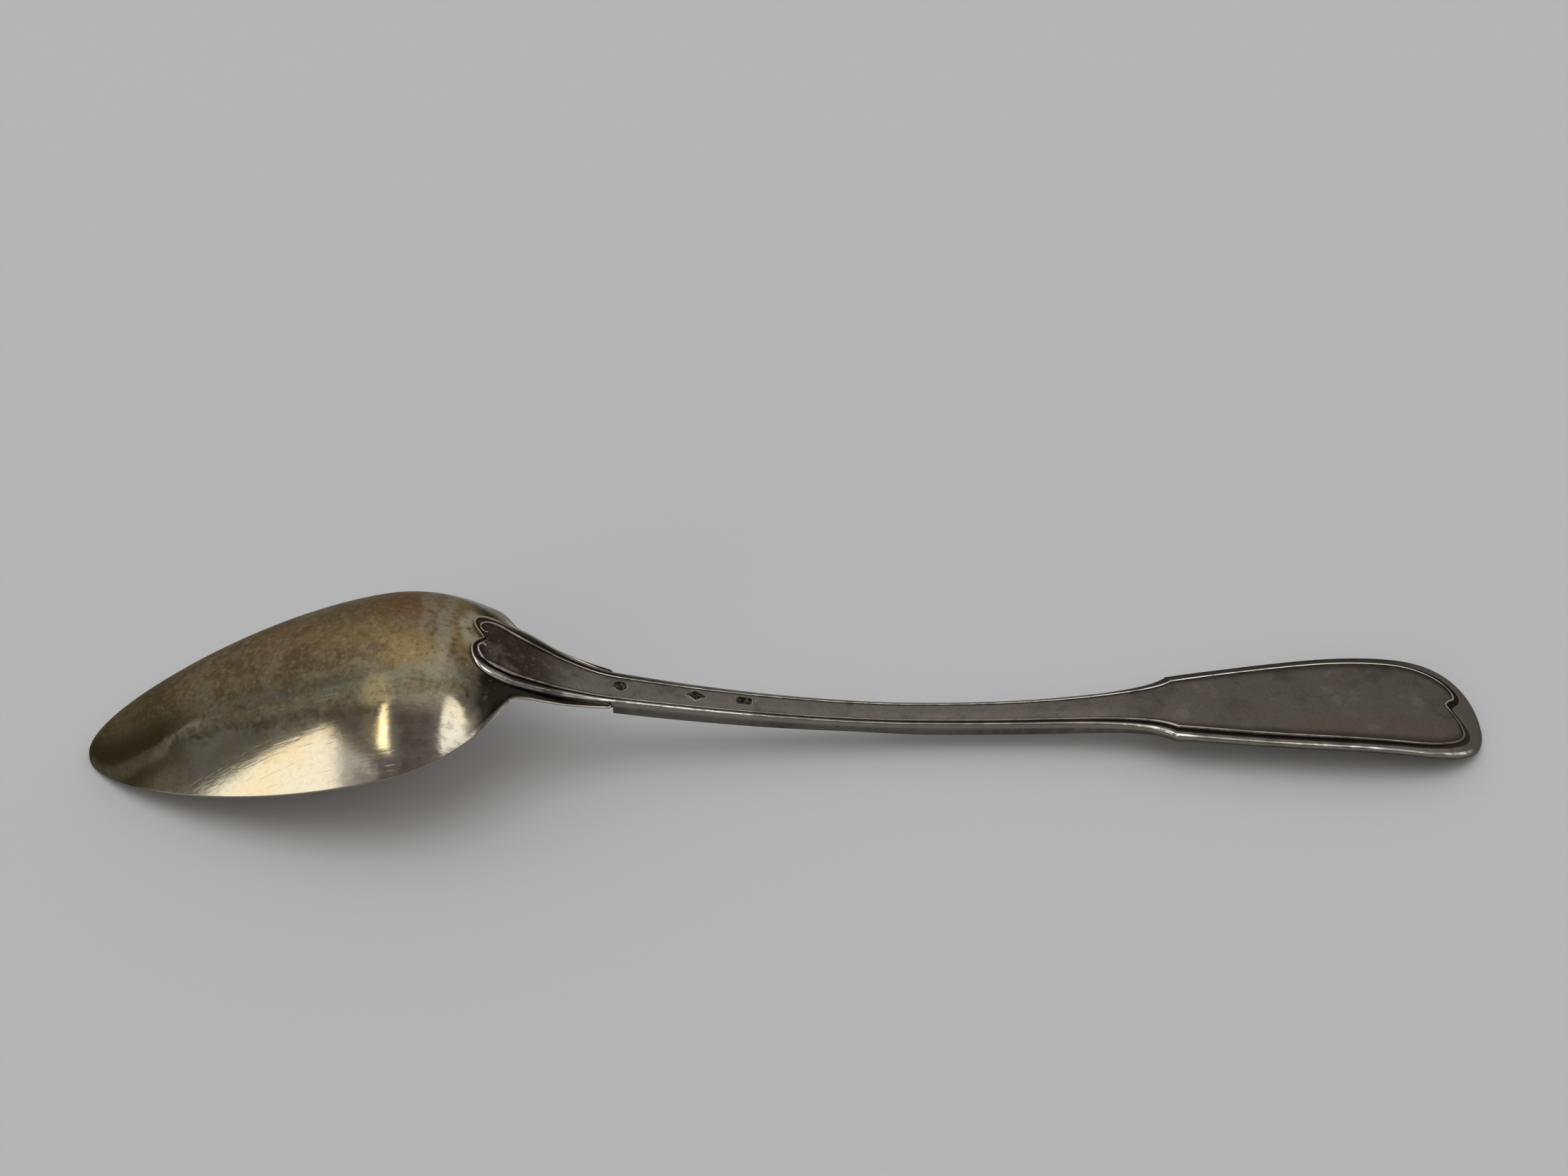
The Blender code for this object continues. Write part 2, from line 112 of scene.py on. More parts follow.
# Rise of the struck back and of the front above the plain bar: distance from the step, rise
BACK_RISE = ((-0.012, 0.0), (0.0, 0.00015), (0.010, 0.00045), (0.021, 0.00062), (0.036, 0.0007), (0.060, 0.00048),
             (0.090, 0.0006), (0.115, 0.0009), (0.155, 0.0009), (0.176, 0.0006), (0.1923, 0.0))
FRONT_RISE = ((0.0, 0.0001), (0.021, 0.0004), (0.052, 0.0004), (0.068, -0.00035), (0.099, -0.00035), (0.115, 0.0),
              (0.145, 0.0003), (0.170, 0.0003), (0.1923, 0.0))
# Fall of the rolled border to the edge: distance from the step, fall
EDGE_FALL = ((-0.0294, 0.0008), (-0.014, 0.00125), (-0.004, 0.0008), (0.004, 0.0005), (0.090, 0.0005),
             (0.125, 0.0007), (0.170, 0.0006), (0.1923, 0.0005))
# How far the border lies below the bar's plain back: distance from the step, drop
BORDER_DROP = ((0.004, 0.0), (0.030, 0.0002), (0.053, 0.00035), (0.100, 0.0005), (0.132, 0.0009), (0.160, 0.0008),
               (0.178, 0.0006), (0.1923, 0.0003))

# The scroll's line on the tongue: distance from the tongue's tip and from the middle
SCROLL_LINE = ((0.0082, 0.00645), (0.0054, 0.0067), (0.0039, 0.0065), (0.00245, 0.00568), (0.0017, 0.0046),
               (0.00135, 0.0036), (0.00155, 0.00265), (0.0022, 0.0019), (0.0028, 0.0019), (0.0031, 0.0025))

# Tint of the silver at grazing angles, of the scroll's lee and of the ridges in the recesses
SILVER_TINT = (0.60, 0.57, 0.52)
SCROLL_LEE = (0.150, 0.130, 0.108)
RECESS_RIDGES = (0.125, 0.110, 0.088)

# The room: where the back wall starts and is full along +Y, and the ceiling along +Z, the colour of both, and the
# softness of the panes' edges
BACK_WALL = (-0.25, 0.35)
CEILING = (0.78, 0.97)
ROOM_COLOUR = (1.0, 0.995, 0.985)
PANE_SOFT = 0.02
# Panes of soft light in the room, each in front of those before it: corners as turn from +Y and height, in degrees
PANES = {
    "curtain": ((-139.5, 31.0), (-143.0, 8.0), (-154.0, 8.0), (-153.0, 27.0)),
    "window": ((-118.0, -2.0), (-134.5, 36.0), (-139.0, 32.5), (-145.6, 20.0), (-149.0, 4.0)),
    "strip": ((-149.5, 59.0), (-154.5, 60.0), (-159.5, 33.0), (-153.0, 33.0)),
    "side": ((115.0, 58.0), (117.0, 46.0), (126.0, 36.0), (161.0, 37.0), (147.0, 49.5)),
}

# Punched recesses: distance from the step, length, width, and corners as shares of half the length and width
ROUND = [(math.cos(math.tau * k / 28), math.sin(math.tau * k / 28)) for k in range(28)]
CUT_CORNERS = [(1, -.5), (1, .5), (.74, 1), (-.74, 1), (-1, .5), (-1, -.5), (-.74, -1), (.74, -1)]
MARKS = {
    "oval mark": (0.0014, 0.0031, 0.0030, ROUND),
    "lozenge mark": (0.0179, 0.0044, 0.0032, [(1, 0), (0, 1), (-1, 0), (0, -1)]),
    "cut corner mark": (0.0285, 0.0036, 0.0024, CUT_CORNERS),
}

# Scratches on the bowl's back: turn, fineness across the lines, width in the noise that draws them
SCRATCHES = ((0.45, 180.0, 0.007), (-0.65, 205.0, 0.007), (1.25, 230.0, 0.008), (1.75, 260.0, 0.008),
             (0.12, 290.0, 0.007), (2.45, 240.0, 0.008), (0.85, 320.0, 0.008))
# Stains on the bowl's back and on its rubbed cheeks: middle and reach in plan, name of the colour, strength
BOWL_STAINS = (
    ((-0.0820, 0.0080), (0.013, 0.010), "red_brown", 0.85),
    ((-0.1080, 0.0020), (0.012, 0.007), "red_brown", 0.45),
    ((-0.0930, -0.0020), (0.014, 0.006), "gold_tan", 0.55),
    ((-0.0790, -0.0070), (0.010, 0.006), "gold_tan", 0.70),
    ((-0.0690, -0.0010), (0.004, 0.006), "gold_tan", 0.80),
    ((-0.0690, 0.0110), (0.004, 0.005), "gold_tan", 0.70),
    ((-0.0990, -0.0128), (0.014, 0.0016), "dark_green", 0.40),
    ((-0.0762, 0.0080), (0.0024, 0.014), "pale_wipe", 0.50),
    ((-0.0722, 0.0030), (0.0024, 0.018), "pale_wipe", 0.62),
    ((-0.0725, -0.0100), (0.0050, 0.0050), "pale_wipe", 0.35),
    ((-0.0672, 0.0030), (0.0028, 0.0080), "cream", 1.00),
    ((-0.0857, -0.0165), (0.0045, 0.0045), "gold_wash", 0.62),
)
CHEEK_STAINS = (
    ((-0.0925, -0.0195), (0.0060, 0.0035), "red_brown", 0.50),
    ((-0.0850, -0.0190), (0.0050, 0.0080), "gold_wash", 0.85),
    ((-0.0780, -0.0200), (0.0050, 0.0110), "violet_brown", 0.60),
    ((-0.1130, -0.0250), (0.0080, 0.0035), "gold_wash", 0.35),
    ((-0.1170, -0.0190), (0.0100, 0.0040), "grey_green", 0.50),
    ((-0.0840, -0.0280), (0.0120, 0.0020), "violet_brown", 0.50),
)


def size(name, description, default):
    return FloatProperty(name=name, description=description, default=default, min=0.0, precision=5,
                         subtype="DISTANCE", unit="LENGTH")


def tone(name, description, default):
    return FloatVectorProperty(name=name, description=description, default=default, size=3, min=0.0,
                               max=1.0, subtype="COLOR")


def share(name, description, default, highest=1.0):
    return FloatProperty(name=name, description=description, default=default, min=0.0, max=highest,
                         subtype="FACTOR")


class SpoonSizes(bpy.types.PropertyGroup):
    """Sizes of the spoon and of its trim."""

    bowl_length: size("Bowl length", "From the tip to the throat", 0.0965)
    neck_length: size("Neck length", "From the throat to the step", 0.0212)
    stem_length: size("Stem length", "From the step to the fiddle's shoulders", 0.1228)
    fiddle_length: size("Fiddle length", "From the shoulders to the end", 0.0695)
    bowl_width: size("Bowl width", "Across the widest place of the rim", 0.0580)
    bowl_widest: size("Bowl widest place", "From the tip", 0.0690)
    crest_height: size("Crest height", "Height of the bowl's back above the table", 0.0380)
    crest_place: size("Crest place", "From the tip", 0.0714)
    bowl_wall: size("Bowl wall", "Thickness of the bowl", 0.0015)
    rim_width: size("Rim width", "Width of the flat filed rim", 0.0014)
    rim_lip: size("Rim lip", "Rounding of the rim's outer edge", 0.00028)
    nose_wall: size("Nose wall", "Thickness at the tip", 0.0018)
    nose_blunt: size("Nose bluntness", "How blunt the tip is in plan", 0.0094)
    throat_width: size("Throat width", "Width where the bowl becomes the neck", 0.0244)
    throat_height: size("Throat height", "Height of the rim at the throat", 0.0249)
    heel_place: size("Heel place", "Before the throat", 0.0020)
    heel_height: size("Heel height", "Height of the back at the heel", 0.0287)
    neck_width: size("Neck width", "Width of the neck at the step", 0.0124)
    neck_turn: size("Neck turn", "Rounding of the neck's corners at the step", 0.0012)
    neck_edge_drop: size("Neck edge drop", "Neck's edge below the step", 0.0006)
    neck_edge_depth: size("Neck edge depth", "Thickness of the neck's edge", 0.0006)
    step_height: size("Step height", "Height of the stem's back at the step", 0.0174)
    stem_neck_width: size("Stem width at the step", "Width of the stem at the step", 0.0097)
    stem_width: size("Stem width", "Width at the narrowest place", 0.0072)
    stem_narrow: size("Narrowest place", "From the step", 0.0611)
    stem_low_height: size("Stem low height", "Height of the back at the arch's low place", 0.0072)
    stem_low: size("Stem low place", "From the step", 0.0841)
    stem_neck_depth: size("Stem depth at the step", "Thickness of the stem at the step", 0.0036)
    stem_depth: size("Stem depth", "Thickness of the stem", 0.0028)
    stem_bulge: size("Stem bulge", "Rounding of the stem's sides", 0.00012)
    shoulder_width: size("Shoulder width", "Width at the fiddle's shoulders", 0.0194)
    fiddle_width: size("Fiddle width", "Width at the widest place", 0.0306)
    fiddle_widest: size("Fiddle widest place", "From the end", 0.0165)
    fiddle_depth: size("Fiddle depth", "Thickness of the fiddle", 0.0017)
    fiddle_flat_height: size("Fiddle height", "Height of the flat of the fiddle", 0.0084)
    fiddle_flat_length: size("Fiddle flat length", "Length of the flat", 0.0220)
    fiddle_flat_place: size("Fiddle flat place", "From the end to where the droop starts", 0.0370)
    tongue_length: size("Tongue length", "From the step to the lobes", 0.0294)
    tongue_width: size("Tongue width", "Across the lobes", 0.0183)
    tongue_widest: size("Tongue widest place", "From the lobes' tips", 0.0052)
    tongue_depth: size("Tongue depth", "Thickness on the bowl", 0.0012)
    tongue_lobes: size("Lobe spread", "Between the lobes' tips", 0.0082)
    tongue_cusp: size("Tongue cusp", "How deep the cusp is between the lobes", 0.0023)
    tongue_lobe_lift: size("Lobe lift", "Height of the lobes above the bowl's back", 0.0008)
    tongue_sink: size("Tongue sink", "How far the solder draws the tongue into the bowl's back", 0.0002)
    joint_gap: size("Joint gap", "Solder film under the tongue", 0.0003)
    step_thread: size("Step thread", "From the edge to the bead at the step", 0.00145)
    stem_thread: size("Stem thread", "From the edge to the bead on the stem", 0.00105)
    fiddle_thread: size("Fiddle thread", "From the edge to the bead on the fiddle", 0.00262)
    tongue_thread: size("Tongue thread", "From the edge to the bead on the tongue", 0.0029)
    edge_round: size("Edge round", "Rounding of the handle's edges", 0.0003)
    border_lip: size("Border lip", "Least drop from the border into the groove", 0.00012)
    roll_width: size("Roll width", "Width of the border's rolled outside", 0.0012)
    groove_width: size("Groove width", "From the border's inner edge to the bead", 0.0015)
    groove_depth: size("Groove depth", "Depth of the groove beside the bead", 0.0005)
    stem_groove_depth: size("Stem groove depth", "Depth of the groove on the stem", 0.0003)
    bead_wire: size("Bead wire", "Half the width of the bead", 0.00030)
    bead_drop: size("Bead drop", "Top of the bead below the bar's plain back", 0.00008)
    panel_drop: size("Panel drop", "Panel below the bar's plain face", 0.00028)
    panel_crown: size("Panel crown", "Rise of the panel's middle", 0.00014)
    heart_spread: size("Heart spread", "Between the heart's lobes", 0.0118)
    heart_lobes: size("Heart lobe place", "From the end", 0.0051)
    heart_cusp: size("Heart cusp place", "From the end", 0.0077)
    heart_lean: size("Heart lean", "How far the heart's cusp stands off the middle", 0.0021)
    tongue_bead: size("Tongue bead place", "From the lobes' tips", 0.0015)
    scroll_wire: size("Scroll wire", "Radius of the scroll on the tongue", 0.00027)
    mark_depth: size("Mark depth", "Depth of the punched recesses", 0.00022)
    mark_shift: size("Mark shift", "Recesses off the middle line", 0.0006)


class SpoonFinishes(bpy.types.PropertyGroup):
    """Colours of the silver and of its tarnish, and of the highlights and shade painted on it."""

    khaki: tone("Khaki tarnish", "Crown of the bowl", (0.180, 0.136, 0.080))
    brown: tone("Brown tarnish", "Clouds on the crown", (0.118, 0.083, 0.044))
    grey_green: tone("Grey-green tarnish", "Streaked band along the bowl's flanks", (0.168, 0.163, 0.112))
    dark_green: tone("Dark green tarnish", "Streaks over the flanks", (0.055, 0.052, 0.032))
    tip_brown: tone("Tip tarnish", "Dark streaks at the tip", (0.042, 0.034, 0.013))
    red_brown: tone("Reddish tarnish", "Patches near the crest", (0.165, 0.093, 0.040))
    gold_tan: tone("Golden tarnish", "Patches on the heel", (0.215, 0.150, 0.060))
    violet_brown: tone("Violet-brown tarnish", "Dim patches on the cheeks", (0.165, 0.132, 0.108))
    pale_wipe: tone("Pale wipes", "Stripes across the heel", (0.300, 0.270, 0.205))
    cream: tone("Cream", "Bowl and border round the tongue's lobes", (0.340, 0.305, 0.215))
    gold_wash: tone("Golden silver", "Rubbed flanks with a golden tone", (0.420, 0.330, 0.165))
    bright_silver: tone("Bright silver", "Rubbed flanks and edges", (0.400, 0.370, 0.300))
    # Near-black tarnish beside the tongue, which also stands for painted shade there
    throat_tarnish_and_shade: tone("Throat tarnish", "Near-black brown beside the tongue", (0.015, 0.012, 0.009))
    hollow: tone("Hollow", "Inside of the bowl", (0.330, 0.295, 0.215))
    stem_grey: tone("Stem grey", "Panel of the stem", (0.150, 0.137, 0.119))
    fiddle_grey: tone("Fiddle grey", "Panel of the fiddle", (0.102, 0.092, 0.079))
    tongue_brown: tone("Tongue brown", "Panel of the tongue", (0.036, 0.026, 0.022))
    pink_stain: tone("Pink stain", "Stains on the panels", (0.112, 0.084, 0.071))
    groove_black: tone("Groove black", "Tarnish kept in the grooves", (0.012, 0.010, 0.008))
    border_grey: tone("Border grey", "Border of the thread and the sides", (0.160, 0.148, 0.128))
    # Rubbed silver, also the colour of the painted highlights along the handle's edges and beads
    edge_silver: tone("Edge silver", "Rubbed edges and beads", (0.480, 0.450, 0.395))
    # Near-white silver for painted glints on the brightest edges
    rubbed_edge_glint: tone("Rubbed edge", "Brightest stretches of the edges", (0.860, 0.830, 0.770))
    polish: share("Polish", "Roughness of the rubbed silver", 0.11)
    tarnish_bloom: share("Tarnish bloom", "Roughness of the tarnish", 0.46)


class SpoonStage(bpy.types.PropertyGroup):
    """Floor, lights and camera."""

    floor_colour: tone("Floor", "Colour of the floor", (0.52, 0.525, 0.54))
    room_level: share("Room", "Light from the camera's side", 0.26, 4.0)
    back_level: share("Back wall", "Light from behind the spoon", 0.70, 4.0)
    ceiling_level: share("Ceiling", "Light from above", 1.70, 4.0)
    window_level: share("Window", "Brightness of the large pane", 2.35, 10.0)
    window_colour: tone("Window colour", "Colour of the large pane", (1.0, 0.96, 0.86))
    curtain_level: share("Curtain", "Brightness of the dim pane beside the large one", 0.85, 10.0)
    curtain_colour: tone("Curtain colour", "Colour of the dim pane", (0.96, 0.98, 1.0))
    strip_level: share("Strip", "Brightness of the narrow pane", 4.0, 10.0)
    strip_colour: tone("Strip colour", "Colour of the narrow pane", (1.0, 0.95, 0.84))
    side_level: share("Side", "Brightness of the pane at the right", 2.2, 10.0)
    side_colour: tone("Side colour", "Colour of the pane at the right", (1.0, 0.99, 0.97))
    lens: FloatProperty(name="Lens", description="Focal length", default=60.22, unit="CAMERA")
    camera_place: FloatVectorProperty(name="Camera place", description="Where the camera stands", size=3,
                                      default=(-0.000772, -0.427828, 0.401090), subtype="XYZ", unit="LENGTH")
    camera_turn: FloatVectorProperty(name="Camera turn", description="Tilt down, turn and roll", size=3,
                                     default=(math.radians(39.8116), math.radians(0.169), math.radians(-1.1)),
                                     subtype="EULER", unit="ROTATION")


# Curves

def bezier(points, steps=None):
    """Points of a chain of cubic curves: knot, handle, handle, knot and so on."""
    pieces = []
    for number, first in enumerate(range(0, len(points) - 1, 3)):
        count = CURVE_STEPS if steps is None else steps[number]
        knots = [Vector((p[0], p[1], 0.0)) for p in points[first:first + 4]]
        piece = [(p.x, p.y) for p in interpolate_bezier(*knots, count + 1)]
        pieces += piece if number == 0 else piece[1:]
    return np.array(pieces)


def reading(points):
    """A function that reads the second coordinate of a curve at any place along it."""
    curve = bezier(points)
    return lambda x: np.interp(x, curve[:, 0], curve[:, 1])


def smooth_step(low, high, x):
    t = np.clip((x - low) / (high - low), 0.0, 1.0)
    return t * t * (3 - 2 * t)


def blend(a, b, part):
    return a + (b - a) * part


def slope_of(line, x):
    """Slope of a line of heights at a place."""
    return (line(x + NEAR) - line(x - NEAR)) / (2 * NEAR)


def on_slope(place, run, fall):
    """The place reached by going run along X from a place, down a slope of fall."""
    return (place[0] + run, place[1] - run * fall)


class SpoonForm:
    """The spoon's curves and faces, from the sizes in the panel."""

    def __init__(self, sizes):
        self.s = sizes
        long = sizes.bowl_length + sizes.neck_length + sizes.stem_length + sizes.fiddle_length
        self.tip = -long / 2
        self.throat = self.tip + sizes.bowl_length
        self.step = self.throat + sizes.neck_length
        self.shoulder = self.step + sizes.stem_length
        self.end = long / 2
        self.tongue_tip = self.step - sizes.tongue_length
        self.tongue_lift = sizes.joint_gap + sizes.tongue_depth
        self.seat_at_step = sizes.step_height - self.tongue_lift * math.hypot(1.0, STEP_FALL)
        self.rim_half = reading(self.bowl_outline())
        self.rim_height = reading(self.rim_line())
        self.crest_height = reading(self.crest_line())
        self.handle_top = reading(self.handle_line())
        self.handle_depth = reading(self.depth_line())

    def bowl_outline(self):
        """Plan of the rim on one side: tip, widest place, throat, end of the neck at the step."""
        s = self.s
        half, throat, neck = s.bowl_width / 2, s.throat_width / 2, s.neck_width / 2
        widest = self.tip + s.bowl_widest
        cheek = self.throat - widest
        return [(self.tip, 0.0), (self.tip, s.nose_blunt), (widest - 0.54 * s.bowl_widest, half),
                (widest, half), (widest + 0.55 * cheek, half),
                (self.throat - 0.17 * cheek, blend(throat, half, 0.49)),
                (self.throat, throat), (self.throat + 0.05 * s.neck_length, blend(throat, neck, 0.25)),
                (self.step - 0.38 * s.neck_length, blend(neck, throat, 0.25)), (self.step, neck)]

    def rim_line(self):
        """Side view of the rim: straight from the tip to the throat, then down along the neck's edges."""
        s = self.s
        turn = 0.25 * s.neck_length
        edge = (self.step, s.step_height - s.neck_edge_drop)
        before = on_slope((self.tip, 0.0), s.bowl_length - turn, -s.throat_height / s.bowl_length)
        after = (self.throat + turn, blend(s.throat_height, edge[1], 0.28))
        straight = [(blend(self.tip, before[0], part), part * before[1]) for part in (0, 1 / 3, 2 / 3, 1)]
        return straight + [(self.throat - 0.3 * turn, s.throat_height),
                           (self.throat + 0.3 * turn, s.throat_height), after,
                           (after[0] + 0.3 * s.neck_length, blend(after[1], edge[1], 0.58)),
                           on_slope(edge, -0.2 * s.neck_length, STEP_FALL), edge]

    def crest_line(self):
        """Side view of the back along the middle: nose, crest, heel, and the seat under the tongue."""
        s = self.s
        top = s.crest_height
        crest = (self.tip + s.crest_place, top)
        heel = (self.throat - s.heel_place, s.heel_height)
        seat = (self.step, self.seat_at_step)
        fall, tail = heel[0] - crest[0], seat[0] - heel[0]
        return [(self.tip, 0.015 * top), (self.tip + 0.002 * s.bowl_length, 0.35 * top),
                (crest[0] - 0.273 * s.crest_place, top), crest, (crest[0] + 0.39 * fall, top),
                on_slope(heel, -0.24 * fall, HEEL_FALL), heel, on_slope(heel, 0.27 * tail, HEEL_FALL),
                on_slope(seat, -0.32 * tail, STEP_FALL), seat]

    def handle_line(self):
        """Side view of the handle's back, from the step to the end."""
        s = self.s
        step = (self.step, s.step_height)
        low = (self.step + s.stem_low, s.stem_low_height)
        flat_end = (self.end - s.fiddle_flat_place, s.fiddle_flat_height)
        flat_start = (flat_end[0] - s.fiddle_flat_length, s.fiddle_flat_height)
        end = (self.end, s.fiddle_depth - s.edge_round)
        climb = flat_start[0] - low[0]
        flat = [(flat_end[0] - part * s.fiddle_flat_length, flat_end[1]) for part in (2 / 3, 1 / 3)]
        return [step, on_slope(step, 0.30 * s.stem_low, STEP_FALL), (low[0] - 0.40 * s.stem_low, low[1]), low,
                (low[0] + 0.40 * climb, low[1]), (flat_start[0] - 0.40 * climb, flat_start[1]), flat_start,
                *flat, flat_end, (flat_end[0] + 0.46 * s.fiddle_flat_place, flat_end[1]),
                (self.end - 0.21 * s.fiddle_flat_place, blend(end[1], flat_end[1], 0.66)), end]

    def depth_line(self):
        """Thickness of the stem and fiddle."""
        s = self.s
        low = self.step + s.stem_low
        thin = self.shoulder + 0.12 * s.fiddle_length
        reach = 0.3 * s.stem_low
        fiddle = [(blend(thin, self.end, part), s.fiddle_depth) for part in (0, 1 / 3, 2 / 3, 1)]
        return [(self.step, s.stem_neck_depth), (self.step + reach, s.stem_neck_depth),
                (low - reach, s.stem_depth), (low, s.stem_depth),
                (self.shoulder - 0.08 * s.stem_length, s.stem_depth), (self.shoulder, s.fiddle_depth), *fiddle]

    def neck_share(self, x):
        """0 in the bowl, 1 where the section is the neck's flat seat."""
        s = self.s
        return smooth_step(self.throat - SEAT_START * s.neck_length, self.throat + SEAT_FULL * s.neck_length, x)

    def back_form(self, x, across):
        """Height of the bowl's back and of the neck's seat: across is 0 in the middle, 1 at the rim."""
        s = self.s
        seat_part = (s.stem_neck_width + 2 * s.joint_gap) / max(s.neck_width, s.stem_neck_width + 4 * s.joint_gap)
        power = blend(NOSE_DOME_POWER, BOWL_DOME_POWER, smooth_step(self.tip, self.tip + 0.5 * s.bowl_length, x))
        dome = 1 - across ** power
        seat = 1 - (np.maximum(across - seat_part, 0.0) / (1 - seat_part)) ** 2
        form = blend(dome, seat, self.neck_share(x))
        return self.rim_height(x) + (self.crest_height(x) - self.rim_height(x)) * form

    def back_height(self, x, y):
        """Height of the bowl's back at a place in plan."""
        return self.back_form(x, np.minimum(np.abs(y) / self.rim_half(x), 1.0))

    def back_slopes(self, x, y):
        """Slopes of the bowl's back along X and across it."""
        return slope_of(lambda a: self.back_height(a, y), x), slope_of(lambda b: self.back_height(x, b), y)

    def steepness(self, x, y):
        """How much longer a vertical measure is than one square to the bowl's back."""
        along, over = self.back_slopes(x, y)
        return np.sqrt(1 + along ** 2 + over ** 2)

    def front_line(self, x):
        """Height of the hollow along the middle, and of the neck's rounded underside."""
        s = self.s
        neck_depth = s.stem_neck_depth - (s.step_height - self.seat_at_step)
        depth = blend(s.bowl_wall, neck_depth / math.hypot(1.0, STEP_FALL), self.neck_share(x))
        return self.crest_height(x) - depth * np.hypot(1.0, slope_of(self.crest_height, x))

    def from_tip(self, lengths):
        """Places at these distances from the tongue's tip."""
        return [self.tongue_tip + length for length in lengths]

    def eased(self, table, x):
        """A height read from a table by distance from the step, eased between its rows."""
        places, heights = np.array(table).T
        return np.mean([np.interp(x - self.step + shift, places, heights) for shift in EASE_SHIFTS], axis=0)

    def handle_back(self, x, y, drop):
        """Height of the handle's back at a drop below its plain level: over the bowl, then along the stem."""
        lift = blend(self.s.tongue_lobe_lift, self.tongue_lift, smooth_step(self.tongue_tip, self.step - PASSAGE, x))
        on_bowl = self.back_height(x, y) + (lift - drop) * self.steepness(x, y)
        return np.where(x < self.step, on_bowl, self.handle_top(x) - drop) + self.eased(BACK_RISE, x)

    def handle_front(self, x):
        """Height of the stem's and fiddle's front before its relief."""
        return self.handle_top(x) - self.handle_depth(x) + self.eased(FRONT_RISE, x)

    def track(self, inset):
        """Half plan of the handle from the tongue's cusp round to the fiddle's end.

        inset is 0 for the outline and 1 for the bead of the thread that follows it inside.
        """
        s = self.s
        tip, last = self.tongue_tip, self.end
        cusp = (tip + s.tongue_cusp + 0.6 * s.tongue_bead * inset, 0.0)
        lobe = (tip + s.tongue_bead * inset, s.tongue_lobes / 2)
        wide = (tip + s.tongue_widest, s.tongue_width / 2 - s.tongue_thread * inset)
        step = (self.step, s.stem_neck_width / 2 - s.step_thread * inset)
        narrow = (self.step + s.stem_narrow, s.stem_width / 2 - s.stem_thread * inset)
        shoulder = (self.shoulder + 0.3 * s.fiddle_thread * inset,
                    s.shoulder_width / 2 - 0.9 * s.fiddle_thread * inset)
        broad = (last - s.fiddle_widest - 0.8 * s.fiddle_thread * inset,
                 s.fiddle_width / 2 - s.fiddle_thread * inset)
        heart = (last - blend(0.045 * s.fiddle_widest, s.heart_lobes, inset), s.heart_spread / 2)
        end = (last - s.heart_cusp * inset, 0.0)

        side, stem = step[0] - wide[0], narrow[0] - step[0]
        flare, fiddle = shoulder[0] - narrow[0], broad[0] - shoulder[0]
        lean = 0.29 * (1 - inset)
        corner = blend(0.63, 0.52, inset) * (broad[1] - heart[1])
        dip = blend(0.30, 0.46, inset) * heart[1]
        return [cusp, (blend(cusp[0], lobe[0], 0.45), 0.35 * lobe[1]), (lobe[0], 0.62 * lobe[1]), lobe,
                (lobe[0], blend(lobe[1], wide[1], 0.62)), (blend(lobe[0], wide[0], 0.35), wide[1]), wide,
                (wide[0] + 0.30 * side, wide[1]), (step[0] - 0.45 * side, blend(step[1], wide[1], 0.22)), step,
                (step[0] + 0.22 * stem, blend(step[1], narrow[1], 0.55)), (narrow[0] - 0.40 * stem, narrow[1]),
                narrow, (narrow[0] + 0.60 * flare, narrow[1]),
                (shoulder[0] - 0.085 * flare, blend(narrow[1], shoulder[1], 0.16)), shoulder,
                (shoulder[0] + 0.27 * fiddle, blend(shoulder[1], broad[1], 0.41)),
                (broad[0] - 0.34 * fiddle, broad[1]), broad, (blend(broad[0], heart[0], 0.59), broad[1]),
                (heart[0] - lean * corner, heart[1] + corner), heart,
                (heart[0] + lean * dip, heart[1] - dip),
                (blend(end[0], heart[0], 0.38 * inset), blend(0.37, 0.40, inset) * heart[1]), end]

    def middles(self, outline):
        """Places on the middle line that face each station of the outline, held clear of both cusps."""
        s = self.s
        first = self.tongue_tip + s.tongue_cusp + 1.8 * s.tongue_bead
        last = self.end - 1.15 * s.heart_cusp
        lobes = sum(HANDLE_STATIONS[:2])
        step = sum(HANDLE_STATIONS[:3])
        broad = len(outline) - 1 - sum(HANDLE_STATIONS[-2:])
        shoulder = broad - HANDLE_STATIONS[-3]
        after_lobes = first + 0.1 * s.tongue_length
        before_heart = last - 0.5 * s.heart_cusp
        x = outline[:, 0]
        tongue = np.interp(x[lobes:step], (x[lobes], x[step]), (after_lobes, self.step))
        fiddle = np.interp(x[shoulder:broad], (x[shoulder], x[broad]), (x[shoulder], before_heart))
        return np.concatenate([np.linspace(first, after_lobes, lobes, endpoint=False), tongue,
                               x[step:shoulder], fiddle,
                               np.linspace(before_heart, last, len(outline) - broad)])

    def heart_shift(self, x, y):
        """How far the struck heart's cusp pulls a place of the back off the middle."""
        s = self.s
        cusp = self.end - s.heart_cusp
        along = smooth_step(cusp - 1.2 * s.heart_cusp, cusp - 0.1 * s.heart_cusp, x)
        along = along * (1 - smooth_step(cusp + 0.1 * s.heart_cusp, self.end, x))
        over = np.clip(1 - (np.abs(y) / (s.heart_spread / 2)) ** 2, 0.0, 1.0)
        return s.heart_lean * along * over ** 1.5


def arch(t):
    """Height of a half round: 1 in the middle, 0 at t = 1."""
    return np.sqrt(np.clip(1 - t * t, 0.0, 1.0))


